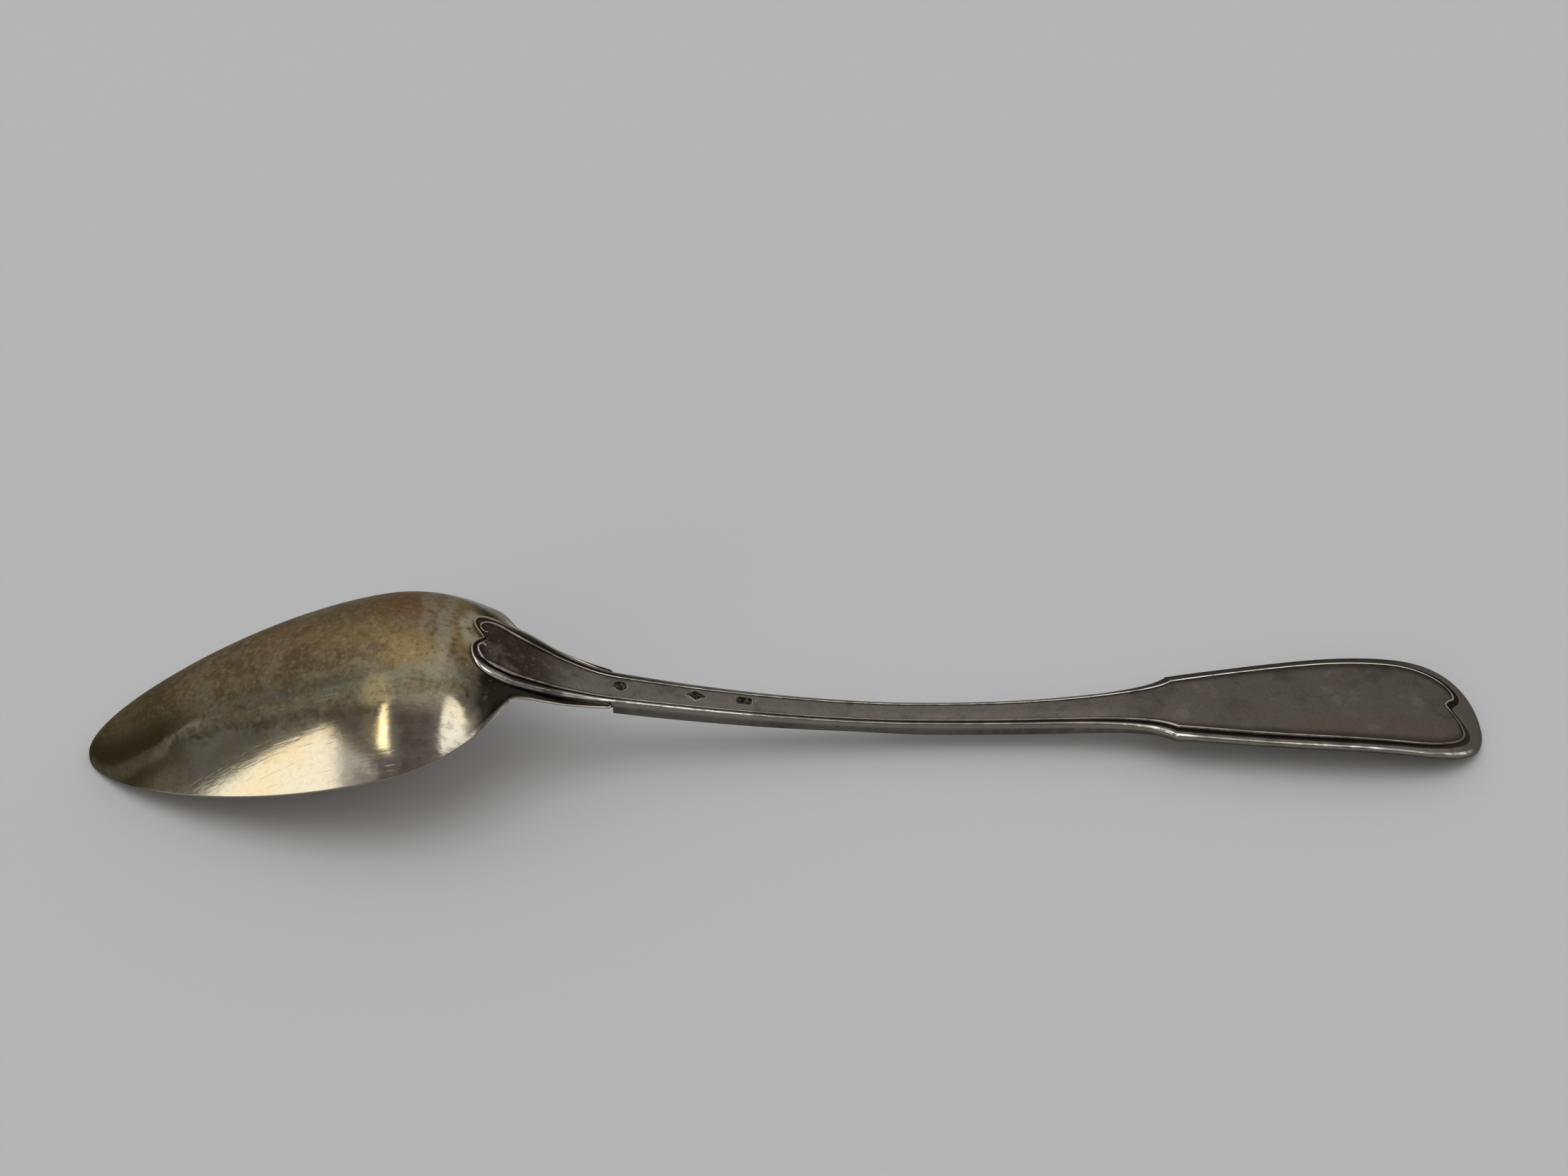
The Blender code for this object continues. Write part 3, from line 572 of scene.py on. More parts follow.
def back_relief(s, part, fall, low, depth):
    """Drop of the struck thread across its marks.

    fall is that of the rolled border to the edge, low that of the whole border, and depth that of the groove.
    """
    crest, inner, foot, top, far = THREAD_MARKS[1:]
    out = np.clip(1 - part / crest, 0.0, 1.0)
    roll = fall * (1 - (1 - out ** ROLL_POWER) ** (1 / ROLL_POWER))
    depth = np.maximum(depth, low + s.border_lip)
    groove = blend(low, depth, smooth_step(inner - 0.02, inner + 0.13, part))
    rise = blend(depth, s.bead_drop, arch(np.clip((top - part) / (top - foot), 0.0, 1.0)))
    after = blend(s.panel_drop, s.bead_drop, arch(np.clip((part - top) / (far - top), 0.0, 1.0)))
    return np.where(part < foot, roll + groove, np.where(part < top, rise, after))


def thread_places(form, edges, beads):
    """Plan of the thread's columns, from the edge past the bead."""
    s = form.s
    gap = np.hypot(*(beads - edges).T)[:, None]
    lobes = smooth_step(*form.from_tip(LOBE_FADE), edges[:, :1])
    on_fiddle = smooth_step(form.shoulder - PASSAGE, form.shoulder + PASSAGE, edges[:, :1])
    band = np.minimum((GROOVE_SHARE + LOBE_GAIN * lobes - FIDDLE_LOSS * on_fiddle) * gap, s.groove_width)
    roll = np.minimum(blend(*ROLL_SHARES, on_fiddle) * (gap - band), s.roll_width)
    wire = np.minimum(s.bead_wire, WIRE_SHARE * band)
    marks = np.concatenate([0 * gap, roll, gap - band, gap - wire, gap, gap + wire], axis=1)
    away = np.array([np.interp(BACK_SHARES, THREAD_MARKS, row) for row in marks]) / gap
    return blend(edges[:, None], beads[:, None], away[..., None])


def front_relief(s, part):
    """Drop of the plainer border of the front face."""
    edge = s.edge_round * (1 - arch(np.clip(1 - part / 0.12, 0.0, 1.0)))
    return edge + s.panel_drop * smooth_step(0.6, 0.85, part)


# Meshes

def placed(name, shape):
    """A piece in the scene, from a shape that is done."""
    mesh = bpy.data.meshes.new(name)
    shape.to_mesh(mesh)
    shape.free()
    piece = bpy.data.objects.new(name, mesh)
    bpy.context.scene.collection.objects.link(piece)
    return piece


def smoothed(name, shape):
    """A piece in the scene with smooth faces that look outward."""
    bmesh.ops.recalc_face_normals(shape, faces=shape.faces)
    for face in shape.faces:
        face.smooth = True
    return placed(name, shape)


def loft(name, halves, layers, cap_last):
    """A smooth body from two half grids of points, joined along the middle.

    layers gives, for each named value of the surface, a grid of the same shape as the points.
    """
    shape = bmesh.new()
    stores = {key: shape.verts.layers.float.new(key) for key in layers}
    for points, flip in halves:
        grid = [[shape.verts.new(point) for point in section] for section in points]
        for key, values in layers.items():
            for row, numbers in zip(grid, values):
                for vert, number in zip(row, numbers):
                    vert[stores[key]] = float(number)
        for one, two in zip(grid, grid[1:]):
            for k in range(len(one) - 1):
                ring = (one[k], two[k], two[k + 1], one[k + 1])
                shape.faces.new(ring[::-1] if flip else ring)
        if cap_last:
            shape.faces.new(grid[-1] if flip else grid[-1][::-1])
    bmesh.ops.remove_doubles(shape, verts=shape.verts, dist=MERGE_DISTANCE)
    bmesh.ops.dissolve_degenerate(shape, edges=shape.edges, dist=MERGE_DISTANCE)
    return smoothed(name, shape)


def mirrored(points):
    return points * np.array((1.0, -1.0, 1.0))


def bowl_grid(form):
    """Half sections of the bowl and the values of its surface: share to the rim, and inside or out."""
    s = form.s
    outline = bezier(form.bowl_outline(), BOWL_STATIONS)
    x = np.minimum(outline[:, :1], form.step - s.joint_gap)
    half = outline[:, 1:]
    turn = np.clip(1 - (form.step - x) / s.neck_turn, 0.0, 1.0)
    half = half - (s.neck_width - s.stem_neck_width) / 2 * (1 - arch(turn))
    lip = np.minimum(s.rim_lip, 0.25 * half)
    wall_end = 1 - lip / np.maximum(half, 1e-9) * (half > 0)
    across = np.sin(np.linspace(0.0, np.pi / 2, OUTER_COLUMNS))[None, :] * wall_end
    outer = np.stack([x + 0 * across, half * across, form.back_form(x, across)], axis=2)
    rim = form.rim_height(x)
    start = np.concatenate([half * wall_end, form.back_form(x, wall_end)], axis=1)
    corner = np.concatenate([half, rim], axis=1)
    flat = np.concatenate([half - lip, rim], axis=1)
    t = np.array(LIP_SHARES)[None, :, None]
    arc = (1 - t) ** 2 * start[:, None] + 2 * t * (1 - t) * corner[:, None] + t ** 2 * flat[:, None]
    lips = np.concatenate([np.repeat(x[:, None], len(LIP_SHARES), axis=1), arc], axis=2)

    in_bowl = np.clip((form.throat - x) / s.bowl_length, 0.0, 1.0)
    inner_x = x + s.nose_wall * in_bowl
    inner_half = half * (1 - 2 * s.rim_width / s.bowl_width)
    edge = form.rim_height(inner_x) - s.neck_edge_depth * form.neck_share(inner_x)
    inward = np.sin(np.linspace(np.pi / 2, 0.0, INNER_COLUMNS))[None, :]
    hollow_z = edge + (form.front_line(inner_x) - edge) * (1 - inward ** BOWL_DOME_POWER)
    inner = np.stack([inner_x + 0 * inward, inner_half * inward, hollow_z], axis=2)
    points = np.concatenate([outer, lips, inner], axis=1)
    rows = len(outline)
    shares = np.concatenate([across, np.ones((rows, len(LIP_SHARES))), np.repeat(inward, rows, axis=0)], axis=1)
    inside = np.zeros(shares.shape)
    inside[:, OUTER_COLUMNS + len(LIP_SHARES):] = 1.0
    lip_mark = np.zeros(shares.shape)
    lip_mark[:, OUTER_COLUMNS:OUTER_COLUMNS + len(LIP_SHARES)] = 1.0
    return points, {"across": shares, "inside": inside, "lip": lip_mark}


def handle_side(form, edges, beads, middles, on_tongue):
    """Half sections of the handle from the middle of the front face round to the middle of the back."""
    s = form.s
    place = edges[:, :1]
    panel = np.array(PANEL_SHARES)

    def to_middle(rim):
        middle = np.stack([middles, 0 * middles], axis=1)
        return blend(rim[:, None], middle[:, None], panel[None, :, None])

    front = blend(edges[:, None], beads[:, None], np.array(FRONT_SHARES)[None, :, None])
    front = np.concatenate([front, to_middle(front[:, -1])], axis=1)[:, ::-1]
    front_parts = np.array([*FRONT_SHARES, *[FRONT_SHARES[-1]] * len(PANEL_SHARES)])[::-1]
    fx, fy = front[..., 0], front[..., 1]
    if on_tongue:
        front_z = form.back_height(fx, fy) - s.tongue_sink
    else:
        front_z = form.handle_front(fx) + front_relief(s, front_parts)[None, :]

    back = thread_places(form, edges, beads)
    back = np.concatenate([back, to_middle(back[:, -1])], axis=1)
    back_parts = np.concatenate([BACK_SHARES, BACK_SHARES[-1] + panel])
    bx, by = back[..., 0], back[..., 1]
    on_stem = smooth_step(form.step - PASSAGE, form.step + PASSAGE, place)
    on_stem = on_stem * smooth_step(form.shoulder - PASSAGE, form.shoulder - GROOVE_DEEPENS, place)
    drop = back_relief(s, np.minimum(back_parts, BACK_SHARES[-1])[None, :], form.eased(EDGE_FALL, place),
                       form.eased(BORDER_DROP, place), blend(s.groove_depth, s.stem_groove_depth, on_stem))
    drop = drop - s.panel_crown * smooth_step(BACK_SHARES[-1], BACK_SHARES[-1] + 1.2, back_parts)[None, :]
    scroll = smooth_step(*form.from_tip(SCROLL_START), bx)
    drop = blend(drop, np.maximum(drop, s.panel_drop), scroll * (back_parts > 0.86)[None, :])
    back_z = form.handle_back(np.minimum(bx, form.step - 1e-9) if on_tongue else bx, by, drop)

    wall = []
    for part in WALL_SHARES:
        bulge = 0.0 if on_tongue else s.stem_bulge * math.sin(math.pi * part)
        wall.append(np.stack([edges[:, 0], edges[:, 1] + bulge * (edges[:, 1] > 0),
                              blend(front_z[:, -1], back_z[:, 0], part)], axis=1))
    wall = np.stack(wall, axis=1)
    front = np.stack([fx, fy, front_z], axis=2)
    back = np.stack([bx, by, back_z], axis=2)
    points = np.concatenate([front, wall, back], axis=1)[:, ::-1]
    parts = np.concatenate([-front_parts - 1, blend(*WALL_MARKS, np.array(WALL_SHARES)), back_parts])[::-1]
    return points, {"thread": np.tile(parts, (len(edges), 1))}


def handle_grid(form):
    """Half sections of the handle, tongue first, with the step between tongue and stem."""
    edges = bezier(form.track(0.0), HANDLE_STATIONS)
    beads = bezier(form.track(1.0), HANDLE_STATIONS)
    middles = form.middles(edges)
    step = sum(HANDLE_STATIONS[:3])
    tongue, tongue_layers = handle_side(form, edges[:step + 1], beads[:step + 1], middles[:step + 1], True)
    stem, stem_layers = handle_side(form, edges[step:], beads[step:], middles[step:], False)
    layers = {key: np.concatenate([tongue_layers[key], stem_layers[key]]) for key in tongue_layers}
    return np.concatenate([tongue, stem]), layers


def lean_heart(form, points, thread):
    """The points with the struck heart's cusp moved off the middle, on the back only."""
    moved = points.copy()
    on_back = smooth_step(0.0, 1.0, thread)
    moved[..., 1] += form.heart_shift(points[..., 0], points[..., 1]) * on_back
    return moved


def bridge(shape, rings):
    """Faces from ring to ring of corners, closed at both ends."""
    shape.faces.new(rings[0][::-1])
    shape.faces.new(rings[-1])
    for one, two in zip(rings, rings[1:]):
        for k, corner in enumerate(one):
            after = (k + 1) % len(one)
            shape.faces.new((corner, one[after], two[after], two[k]))


def tube(shape, path, normals, radii):
    """A round wire along a path into a mesh that is being made, closed at both ends."""
    rings = []
    path = [Vector(p) for p in path]
    turns = [2 * math.pi * k / SCROLL_SIDES for k in range(SCROLL_SIDES)]
    for number, (place, up, radius) in enumerate(zip(path, normals, radii.tolist())):
        ahead = (path[min(number + 1, len(path) - 1)] - path[max(number - 1, 0)]).normalized()
        side = ahead.cross(Vector(up)).normalized()
        top = side.cross(ahead)
        rings.append([shape.verts.new(place + radius * (math.cos(a) * side + math.sin(a) * top)) for a in turns])
    bridge(shape, rings)


def scroll_path(form):
    """Plan of the scroll on one lobe: along the bead, round the lobe and back in a hook."""
    beads = bezier(form.track(1.0), HANDLE_STATIONS)
    side = beads[sum(HANDLE_STATIONS[:2]):sum(HANDLE_STATIONS[:3])]
    first, last = form.from_tip(SCROLL_LEAD)
    lead = side[(side[:, 0] > first) & (side[:, 0] < last)][::-3]
    knots = [tuple(p) for p in lead] + [(form.tongue_tip + a, b) for a, b in SCROLL_LINE]
    knots = np.array(knots)
    steps = np.concatenate([[0.0], np.cumsum(np.hypot(*np.diff(knots, axis=0).T))])
    at = np.linspace(0.0, steps[-1], SCROLL_POINTS)
    line = np.stack([np.interp(at, steps, knots[:, 0]), np.interp(at, steps, knots[:, 1])], axis=1)
    for _ in range(SCROLL_SMOOTHINGS):
        line[1:-1] = 0.25 * line[:-2] + 0.5 * line[1:-1] + 0.25 * line[2:]
    return line


def evaluated(piece):
    """The piece with its modifiers made part of its mesh."""
    depsgraph = bpy.context.evaluated_depsgraph_get()
    done = bpy.data.meshes.new_from_object(piece.evaluated_get(depsgraph), preserve_all_data_layers=True,
                                           depsgraph=depsgraph)
    old = piece.data
    piece.modifiers.clear()
    piece.data = done
    done.name = piece.name
    bpy.data.meshes.remove(old)


# Finishes

def maths(operation, swapped=False):
    """A Python operator that adds a Math node, with its two values swapped if need be."""
    def added(one, *two):
        values = (*two, one) if swapped else (one, *two)
        return one.finish.node("ShaderNodeMath", {"operation": operation}, dict(enumerate(values)))
    return added


class Shade:
    """A shader value that takes part in Python sums."""

    def __init__(self, finish, socket):
        self.finish = finish
        self.socket = socket

    __add__, __radd__ = maths("ADD"), maths("ADD", True)
    __sub__, __rsub__ = maths("SUBTRACT"), maths("SUBTRACT", True)
    __mul__, __rmul__ = maths("MULTIPLY"), maths("MULTIPLY", True)
    __truediv__, __pow__ = maths("DIVIDE"), maths("POWER")
    __abs__, __or__ = maths("ABSOLUTE"), maths("MAXIMUM")


class Finish:
    """A node tree that is made value by value, from colours that have names."""

    def __init__(self, tree, colours):
        self.tree = tree
        self.colours = colours

    def node(self, kind, settings=None, values=None, output=0):
        made = self.tree.nodes.new(kind)
        for key, value in (settings or {}).items():
            setattr(made, key, value)
        for key, value in (values or {}).items():
            self.feed(made.inputs[key], value)
        return Shade(self, made.outputs[output])

    def feed(self, socket, value):
        if isinstance(value, Shade):
            self.tree.links.new(value.socket, socket)
        elif socket.type == "RGBA" and len(value) == 3:
            socket.default_value = (*value, 1.0)
        else:
            socket.default_value = value

    def place(self):
        """Position on the spoon, in metres."""
        return self.node("ShaderNodeTexCoord", output="Object")

    def split(self, vector, axes="XY"):
        return [self.node("ShaderNodeSeparateXYZ", None, {0: vector}, output=axis) for axis in axes]

    def value(self, name):
        """A value stored on the surface."""
        return self.node("ShaderNodeAttribute", {"attribute_name": name}, output="Fac")

    def noise(self, place, scale, detail=4.0, rough=0.55, distortion=0.0, output=0):
        return self.node("ShaderNodeTexNoise", None, {"Vector": place, "Scale": scale, "Detail": detail,
                                                      "Roughness": rough, "Distortion": distortion}, output)

    def vector(self, operation, one, two, second=1, output=0):
        return self.node("ShaderNodeVectorMath", {"operation": operation}, {0: one, second: two}, output)

    def uneven(self, place, reach):
        """The place pushed about by soft noise, so that the edges of patches wander."""
        push = self.vector("SUBTRACT", self.noise(place, 140.0, 5.0, 0.62, output="Color"), (0.5, 0.5, 0.5))
        return self.vector("ADD", place, self.vector("SCALE", push, reach, "Scale"))

    def stretched(self, place, turn, scale):
        """The place turned about Z and stretched, for streaks and scratches."""
        return self.node("ShaderNodeMapping", None, {"Vector": place, "Rotation": (0.0, 0.0, turn), "Scale": scale})

    def between(self, value, low, high):
        """0 at low, 1 at high, smooth between."""
        return self.node("ShaderNodeMapRange", {"interpolation_type": "SMOOTHSTEP"},
                         {0: value, 1: low, 2: high, 3: 0.0, 4: 1.0})

    def window(self, value, start, full, fading, gone):
        """0 up to start, 1 from full to fading, 0 again from gone on."""
        return self.between(value, start, full) * self.between(value, gone, fading)

    def patch(self, x, y, middle, reach):
        """1 in the middle of an oval, 0 outside it."""
        away = ((x - middle[0]) / reach[0]) ** 2.0 + ((y - middle[1]) / reach[1]) ** 2.0
        return self.between(away, 1.0, 0.1)

    def hairlines(self, place, turn, spacing, width):
        """Thin straight lines, broken up along their length."""
        along = self.stretched(place, turn, (7.0, spacing, 7.0))
        lines = self.between(abs(self.noise(along, 1.0, 0.0) - 0.5), width, 0.15 * width)
        return lines * self.between(self.noise(place, 0.8 * spacing, 2.0), 0.52, 0.62)

    def mix(self, factor, one, two):
        """From colour one to colour two."""
        return self.node("ShaderNodeMix", {"data_type": "RGBA"}, {0: factor, 6: one, 7: two}, output=2)

    def tone(self, name, light=1.0):
        """A named colour, made lighter or darker."""
        return tuple(light * part for part in getattr(self.colours, name))

    def laid(self, colour, *coats):
        """A colour with coats over it: each a cover, the name of a colour and, where needed, how light it is."""
        for cover, *name in coats:
            colour = self.mix(cover, colour, self.tone(*name))
        return colour

    def stained(self, colour, stains, x, y, breaks):
        """A colour with stains from a table laid over it, each broken up by noise."""
        return self.laid(colour, *((strength * self.patch(x, y, middle, reach) * breaks, name)
                                   for middle, reach, name, strength in stains))

    def silver(self, colour, rough, height, depth):
        """Ends the tree as a metal with this colour and roughness, and a bump of this depth in metres."""
        inputs = self.tree.nodes["Principled BSDF"].inputs
        bump = self.node("ShaderNodeBump", None, {"Strength": 1.0, "Distance": depth, "Height": height})
        for key, value in {"Metallic": 1.0, "Specular Tint": SILVER_TINT, "Base Color": colour, "Roughness": rough,
                           "Normal": bump}.items():
            self.feed(inputs[key], value)


def new_material(name, colours):
    """A material that is still bare, and the finish to make it with."""
    material = bpy.data.materials.new(name)
    material.use_nodes = True
    return material, Finish(material.node_tree, colours)


def bowl_silver(colours):
    """Tarnished bowl: khaki crown, grey-green flanks, rubbed cheeks, dark tip and throat; painted highlights,
    reflection and shade.
    """
    material, finish = new_material("gold toned silver", colours)
    between, window, noise, laid = finish.between, finish.window, finish.noise, finish.laid
    place = finish.place()
    x, y = finish.split(finish.uneven(place, 0.0045))
    across, inside = finish.value("across"), finish.value("inside")
    clouds = noise(place, 80.0, 6.0, 0.6, 0.4)
    blots = noise(place, 330.0, 5.0, 0.65, 0.6)
    grain = noise(place, 950.0, 4.0, 0.65)
    streaks = noise(finish.stretched(place, -0.12, (40.0, 380.0, 380.0)), 1.0, 5.0, 0.6)
    cloudy, blotted, streaked = (values - 0.5 for values in (clouds, blots, streaks))

    flank = between(across + 0.35 * cloudy, 0.30, 0.50)
    colour = laid(finish.tone("brown"), (between(clouds + 1.1 * blotted, 0.34, 0.62), "khaki"),
                  (0.60 * between(blots + 0.4 * cloudy, 0.54, 0.68), "grey_green"),
                  (0.85 * flank * between(streaks, 0.30, 0.54), "grey_green"))
    colour = finish.stained(colour, BOWL_STAINS, x, y, between(streaks + blots, 0.74, 1.0))
    colour = laid(colour, (0.45 * between(grain, 0.48, 0.34), "brown", 0.6),
                  (0.32 * between(grain, 0.54, 0.66), "pale_wipe"))

    polished = between(across + 0.10 * streaked, 0.56, 0.66) * between(x, -0.142, -0.126)
    patchy = 0.10 * streaked + 0.28 * blotted
    rubbed = between(across + patchy, 0.58, 0.72) * between(x, -0.142, -0.116)
    golden = between(noise(place, 120.0, 4.0, 0.6), 0.44, 0.64) * between(across, 0.96, 0.78)
    flecked = between(x, -0.094, -0.088) * between(blots + 0.4 * streaked, 0.50, 0.62)
    cheek = laid(finish.tone("bright_silver"), (0.45 * golden, "gold_wash"),
                 (0.12 * between(grain, 0.50, 0.40), "gold_tan"), (0.40 * flecked, "violet_brown"))
    cheek = finish.stained(cheek, CHEEK_STAINS, x, y, between(streaks + blots, 0.66, 1.05))
    colour = finish.mix(rubbed, colour, cheek)

    # Painted reflection of a ridge along the tip: the nose mask lays dark bands beside the keel line, and pale
    # glints run along it, broken up by blots
    near_x, near_y = finish.split(finish.uneven(place, 0.0015))
    off_keel = near_y + 0.0110 * (1.0 - ((-0.128 - near_x) / 0.028) ** 4.0)
    above = window(off_keel, -0.0004, 0.0005, 0.0016, 0.0060)
    below = window(off_keel, -0.0013, -0.0026, -0.0032, -0.0052)
    nose = above * between(x, -0.123, -0.137) | 0.75 * below * between(x, -0.126, -0.140)
    keel_glints = window(off_keel, -0.0028, -0.0010, -0.0004, 0.0006)
    keel_glints = keel_glints * between(x, -0.139, -0.133) * between(x, -0.121, -0.127)
    # Tarnish and painted shade: the throat beside the tongue is painted near black, less on the far side
    throat = between(x, -0.0690, -0.0635) * between(across, 0.36, 0.50)
    throat = throat * (1 - between(x, -0.049, -0.042)) * between(across, 0.985, 0.93)
    throat = throat * (1 - between(y, 0.0, 0.003) * between(across, 0.52, 0.72))
    colour = laid(colour, (0.45 * between(x, -0.122, -0.142), "tip_brown"), (0.90 * nose, "tip_brown"),
                  (0.80 * keel_glints * between(blots, 0.42, 0.60), "pale_wipe"), (0.97 * throat, "throat_tarnish_and_shade"),
                  (0.35 * throat * between(blots, 0.56, 0.66), "violet_brown"))

    fine = finish.hairlines(place, *SCRATCHES[0])
    for scratch in SCRATCHES[1:]:
        fine = fine | finish.hairlines(place, *scratch)
    fine = fine * between(x, -0.140, -0.120) * (1 - throat)
    colour = laid(colour, (0.22 * fine * flank * (1 - rubbed), "bright_silver"), (0.20 * fine * rubbed, "gold_tan"))
    hollow = laid(finish.tone("gold_wash"), (between(clouds, 0.36, 0.62), "hollow"),
                  (0.30 * between(blots, 0.52, 0.28), "khaki"), (between(x, -0.066, -0.040), "stem_grey"))
    colour = finish.mix(inside, colour, hollow)
    # The rim near the tip is rubbed bright silver; the neck's edge gets a painted highlight in near-white silver
    edge = finish.value("lip") | between(across, 0.95, 0.99) * between(x, -0.064, -0.058)
    colour = laid(colour, (0.85 * edge * (1 - inside) * between(x, -0.144, -0.132), "bright_silver"),
                  (0.75 * (edge * (1 - inside) * between(x, -0.066, -0.060)), "rubbed_edge_glint"))

    rough = colours.tarnish_bloom + (colours.polish - colours.tarnish_bloom) * (polished | inside)
    rough = rough + 0.10 * blotted + 0.06 * fine + 0.20 * throat
    hammered = noise(place, 85.0, 2.0)
    brushed = noise(finish.stretched(place, 0.55, (90.0, 1900.0, 600.0)), 1.0, 3.0)
    finish.silver(colour, rough, 0.36 * hammered + 0.06 * blots + 0.08 * brushed - 0.03 * fine, 0.00012)
    return material


def handle_silver(colours):
    """Tarnished handle: grey panels with pinkish stains, black grooves, rubbed edges, and painted highlights and
    shade.
    """
    material, finish = new_material("grey toned silver", colours)
    between, window, noise, laid = finish.between, finish.window, finish.noise, finish.laid
    place = finish.place()
    x, y = finish.split(finish.uneven(place, 0.005))
    thread = finish.value("thread")
    clouds = noise(place, 95.0, 5.0, 0.6, 0.4)
    blots = noise(place, 380.0, 5.0, 0.6, 0.5)
    grain = noise(place, 1500.0, 3.0, 0.6)
    smears = noise(finish.stretched(place, 0.10, (70.0, 210.0, 210.0)), 1.0, 5.0, 0.6)
    blotted = blots - 0.5

    on_fiddle = between(x, 0.066, 0.080)
    on_stem = window(x, -0.042, -0.034, 0.060, 0.074)
    on_tongue = between(x, -0.043, -0.056)
    on_lobes = between(x, -0.0605, -0.0640) * between(y, -0.0065, -0.0040)
    at_end = between(x, 0.135, 0.149)
    near = between(y, 0.002, -0.001)
    low = between(y, 0.0010, -0.0080) * on_fiddle

    pink = between(smears + 0.09 * low + 0.3 * blotted, 0.50, 0.62) * between(x, 0.0, 0.06)
    brown = between(smears + 0.5 * blotted, 0.66, 0.44)
    specks = on_tongue * between(grain + 0.4 * blotted, 0.54, 0.72)
    colour = laid(finish.tone("stem_grey"), (between(x, 0.045, 0.105), "fiddle_grey"),
                  (0.50 * between(clouds + 0.4 * blotted, 0.50, 0.32), "fiddle_grey", 0.5),
                  (0.30 * between(clouds + 0.5 * blotted, 0.56, 0.70), "stem_grey", 1.4),
                  ((0.25 + 0.45 * low) * pink, "pink_stain"), (on_tongue * (0.62 + 0.38 * brown), "tongue_brown"),
                  (0.22 * between(grain, 0.48, 0.34), "tongue_brown"), (0.10 * specks, "edge_silver"))

    side = window(thread, 0.56, 0.50, -0.60, -0.95)
    dim = between(clouds + 0.6 * blotted, 0.60, 0.38)
    # Painted shade: the fiddle's far border is painted darker, less so at the end, and the walls a little darker
    # than the top; the dim clouds are tarnish. The border is also darker along the fiddle's end
    far_shade = 0.88 * between(y, -0.001, 0.005) * (1.0 - 0.60 * at_end)
    # A stretch of the tongue's near border is painted darker, and its painted highlight is dimmed below
    dull = window(x, -0.0470, -0.0510, -0.0575, -0.0610)
    tarnish_and_shade = 0.45 * dim | on_fiddle * (far_shade | 0.42 * between(x, 0.143, 0.150))
    tarnish_and_shade = tarnish_and_shade | 0.90 * dull | 0.10 * between(thread, 0.0, -0.3)
    # Painted light: the upper part of the stem's near wall, under the rolled edge, is painted lighter
    lit_wall_top = window(thread, -0.46, -0.36, 0.0, 0.03)
    lit_wall_top = lit_wall_top * between(x, -0.042, -0.034) * near
    colour = laid(colour, (side, "border_grey"), (side * tarnish_and_shade, "border_grey", 0.14),
                  (0.65 * lit_wall_top, "border_grey", 2.0), (on_lobes * side, "cream"))

    # Painted highlights: the rolled edge, mostly on the near side, and the beads are painted in edge silver,
    # brighter along some stretches; the worn noise is real rubbing
    worn = between(smears + 0.7 * blotted, 0.36, 0.58)
    highlight_stretch = between(x, 0.001, -0.007) | between(x, 0.106, 0.124)
    highlight_stretch = (highlight_stretch | window(x, 0.072, 0.080, 0.086, 0.092)) * (1.0 - 0.80 * dull)
    # roll marks the rolled edge that carries the painted highlight: on the near side to the end, fainter on the far
    # side along the stem and tongue
    roll = window(thread, 0.015, 0.04, 0.20, 0.34)
    far_roll_highlight = roll * (1.0 - near) * between(x, -0.056, -0.048) * between(x, 0.060, 0.030)
    roll = roll * near * between(x, 0.1515, 0.1475)
    # bead marks the beads' painted highlight, dimmer on the near side, on the tongue's far side and at the end
    bead = window(thread, 0.92, 0.95, 1.05, 1.08) * (1.0 - 0.35 * near)
    bead = bead * (1.0 - 0.65 * (1.0 - near) * between(x, -0.038, -0.050)) * (1.0 - 0.60 * at_end)
    wear_and_highlight = (roll * (0.40 + 0.60 * highlight_stretch) | bead) * (0.45 + 0.55 * worn)
    # Painted glints in near-white silver on the brightest stretches of the near edge and on the far bead
    glint = (roll * highlight_stretch | 0.55 * bead * (1.0 - near) * between(x, -0.050, -0.036)) * (1.0 - on_lobes) * worn
    groove = window(thread, 0.51, 0.57, 0.90, 0.94) * (1.0 - 0.70 * on_stem)
    # Darker just inside the bead, less on the stem
    inside_bead = window(thread, 1.05, 1.09, 1.10, 1.30)
    lapped = between(x, -0.030, -0.042) * (0.45 - 0.20 * near)
    colour = laid(colour, ((wear_and_highlight | 0.45 * far_roll_highlight) * (1.0 - 0.8 * on_lobes), "edge_silver"),
                  (0.85 * glint, "rubbed_edge_glint"), ((0.95 - 0.20 * on_fiddle * near) * groove, "groove_black"),
                  (lapped * groove, "tongue_brown", 2.2), ((0.65 - 0.30 * on_stem) * inside_bead, "groove_black"))

    rough = 0.36 + 0.12 * blotted - 0.22 * wear_and_highlight + 0.16 * groove - 0.06 * side
    finish.silver(colour, rough, 0.08 * blots + 0.05 * grain + 0.20 * clouds, 0.00010)
    return material


def scroll_silver(colours):
    """Rubbed silver of the scroll's round wire, with tarnish in its lee."""
    material, finish = new_material("scroll silver", colours)
    place = finish.place()
    mottle = finish.noise(place, 900.0, 4.0, 0.6)
    clouds = finish.noise(place, 260.0, 4.0, 0.6)
    colour = finish.laid(SCROLL_LEE, (finish.between(clouds, 0.36, 0.58), "edge_silver"),
                         (0.5 * finish.between(mottle, 0.45, 0.30), "tongue_brown"))
    finish.silver(colour, 0.26 + 0.18 * (mottle - 0.5), mottle, 0.00002)
    return material


def recess_silver(colours):
    """Dark punched floor of the recesses."""
    material, finish = new_material("recess silver", colours)
    pits = finish.noise(finish.place(), 1500.0, 4.0, 0.7)
    colour = finish.mix(finish.between(pits, 0.45, 0.68), finish.tone("groove_black"), RECESS_RIDGES)
    finish.silver(colour, 0.40 + 0.30 * (pits - 0.5), pits, 0.00012)
    return material


# Operators

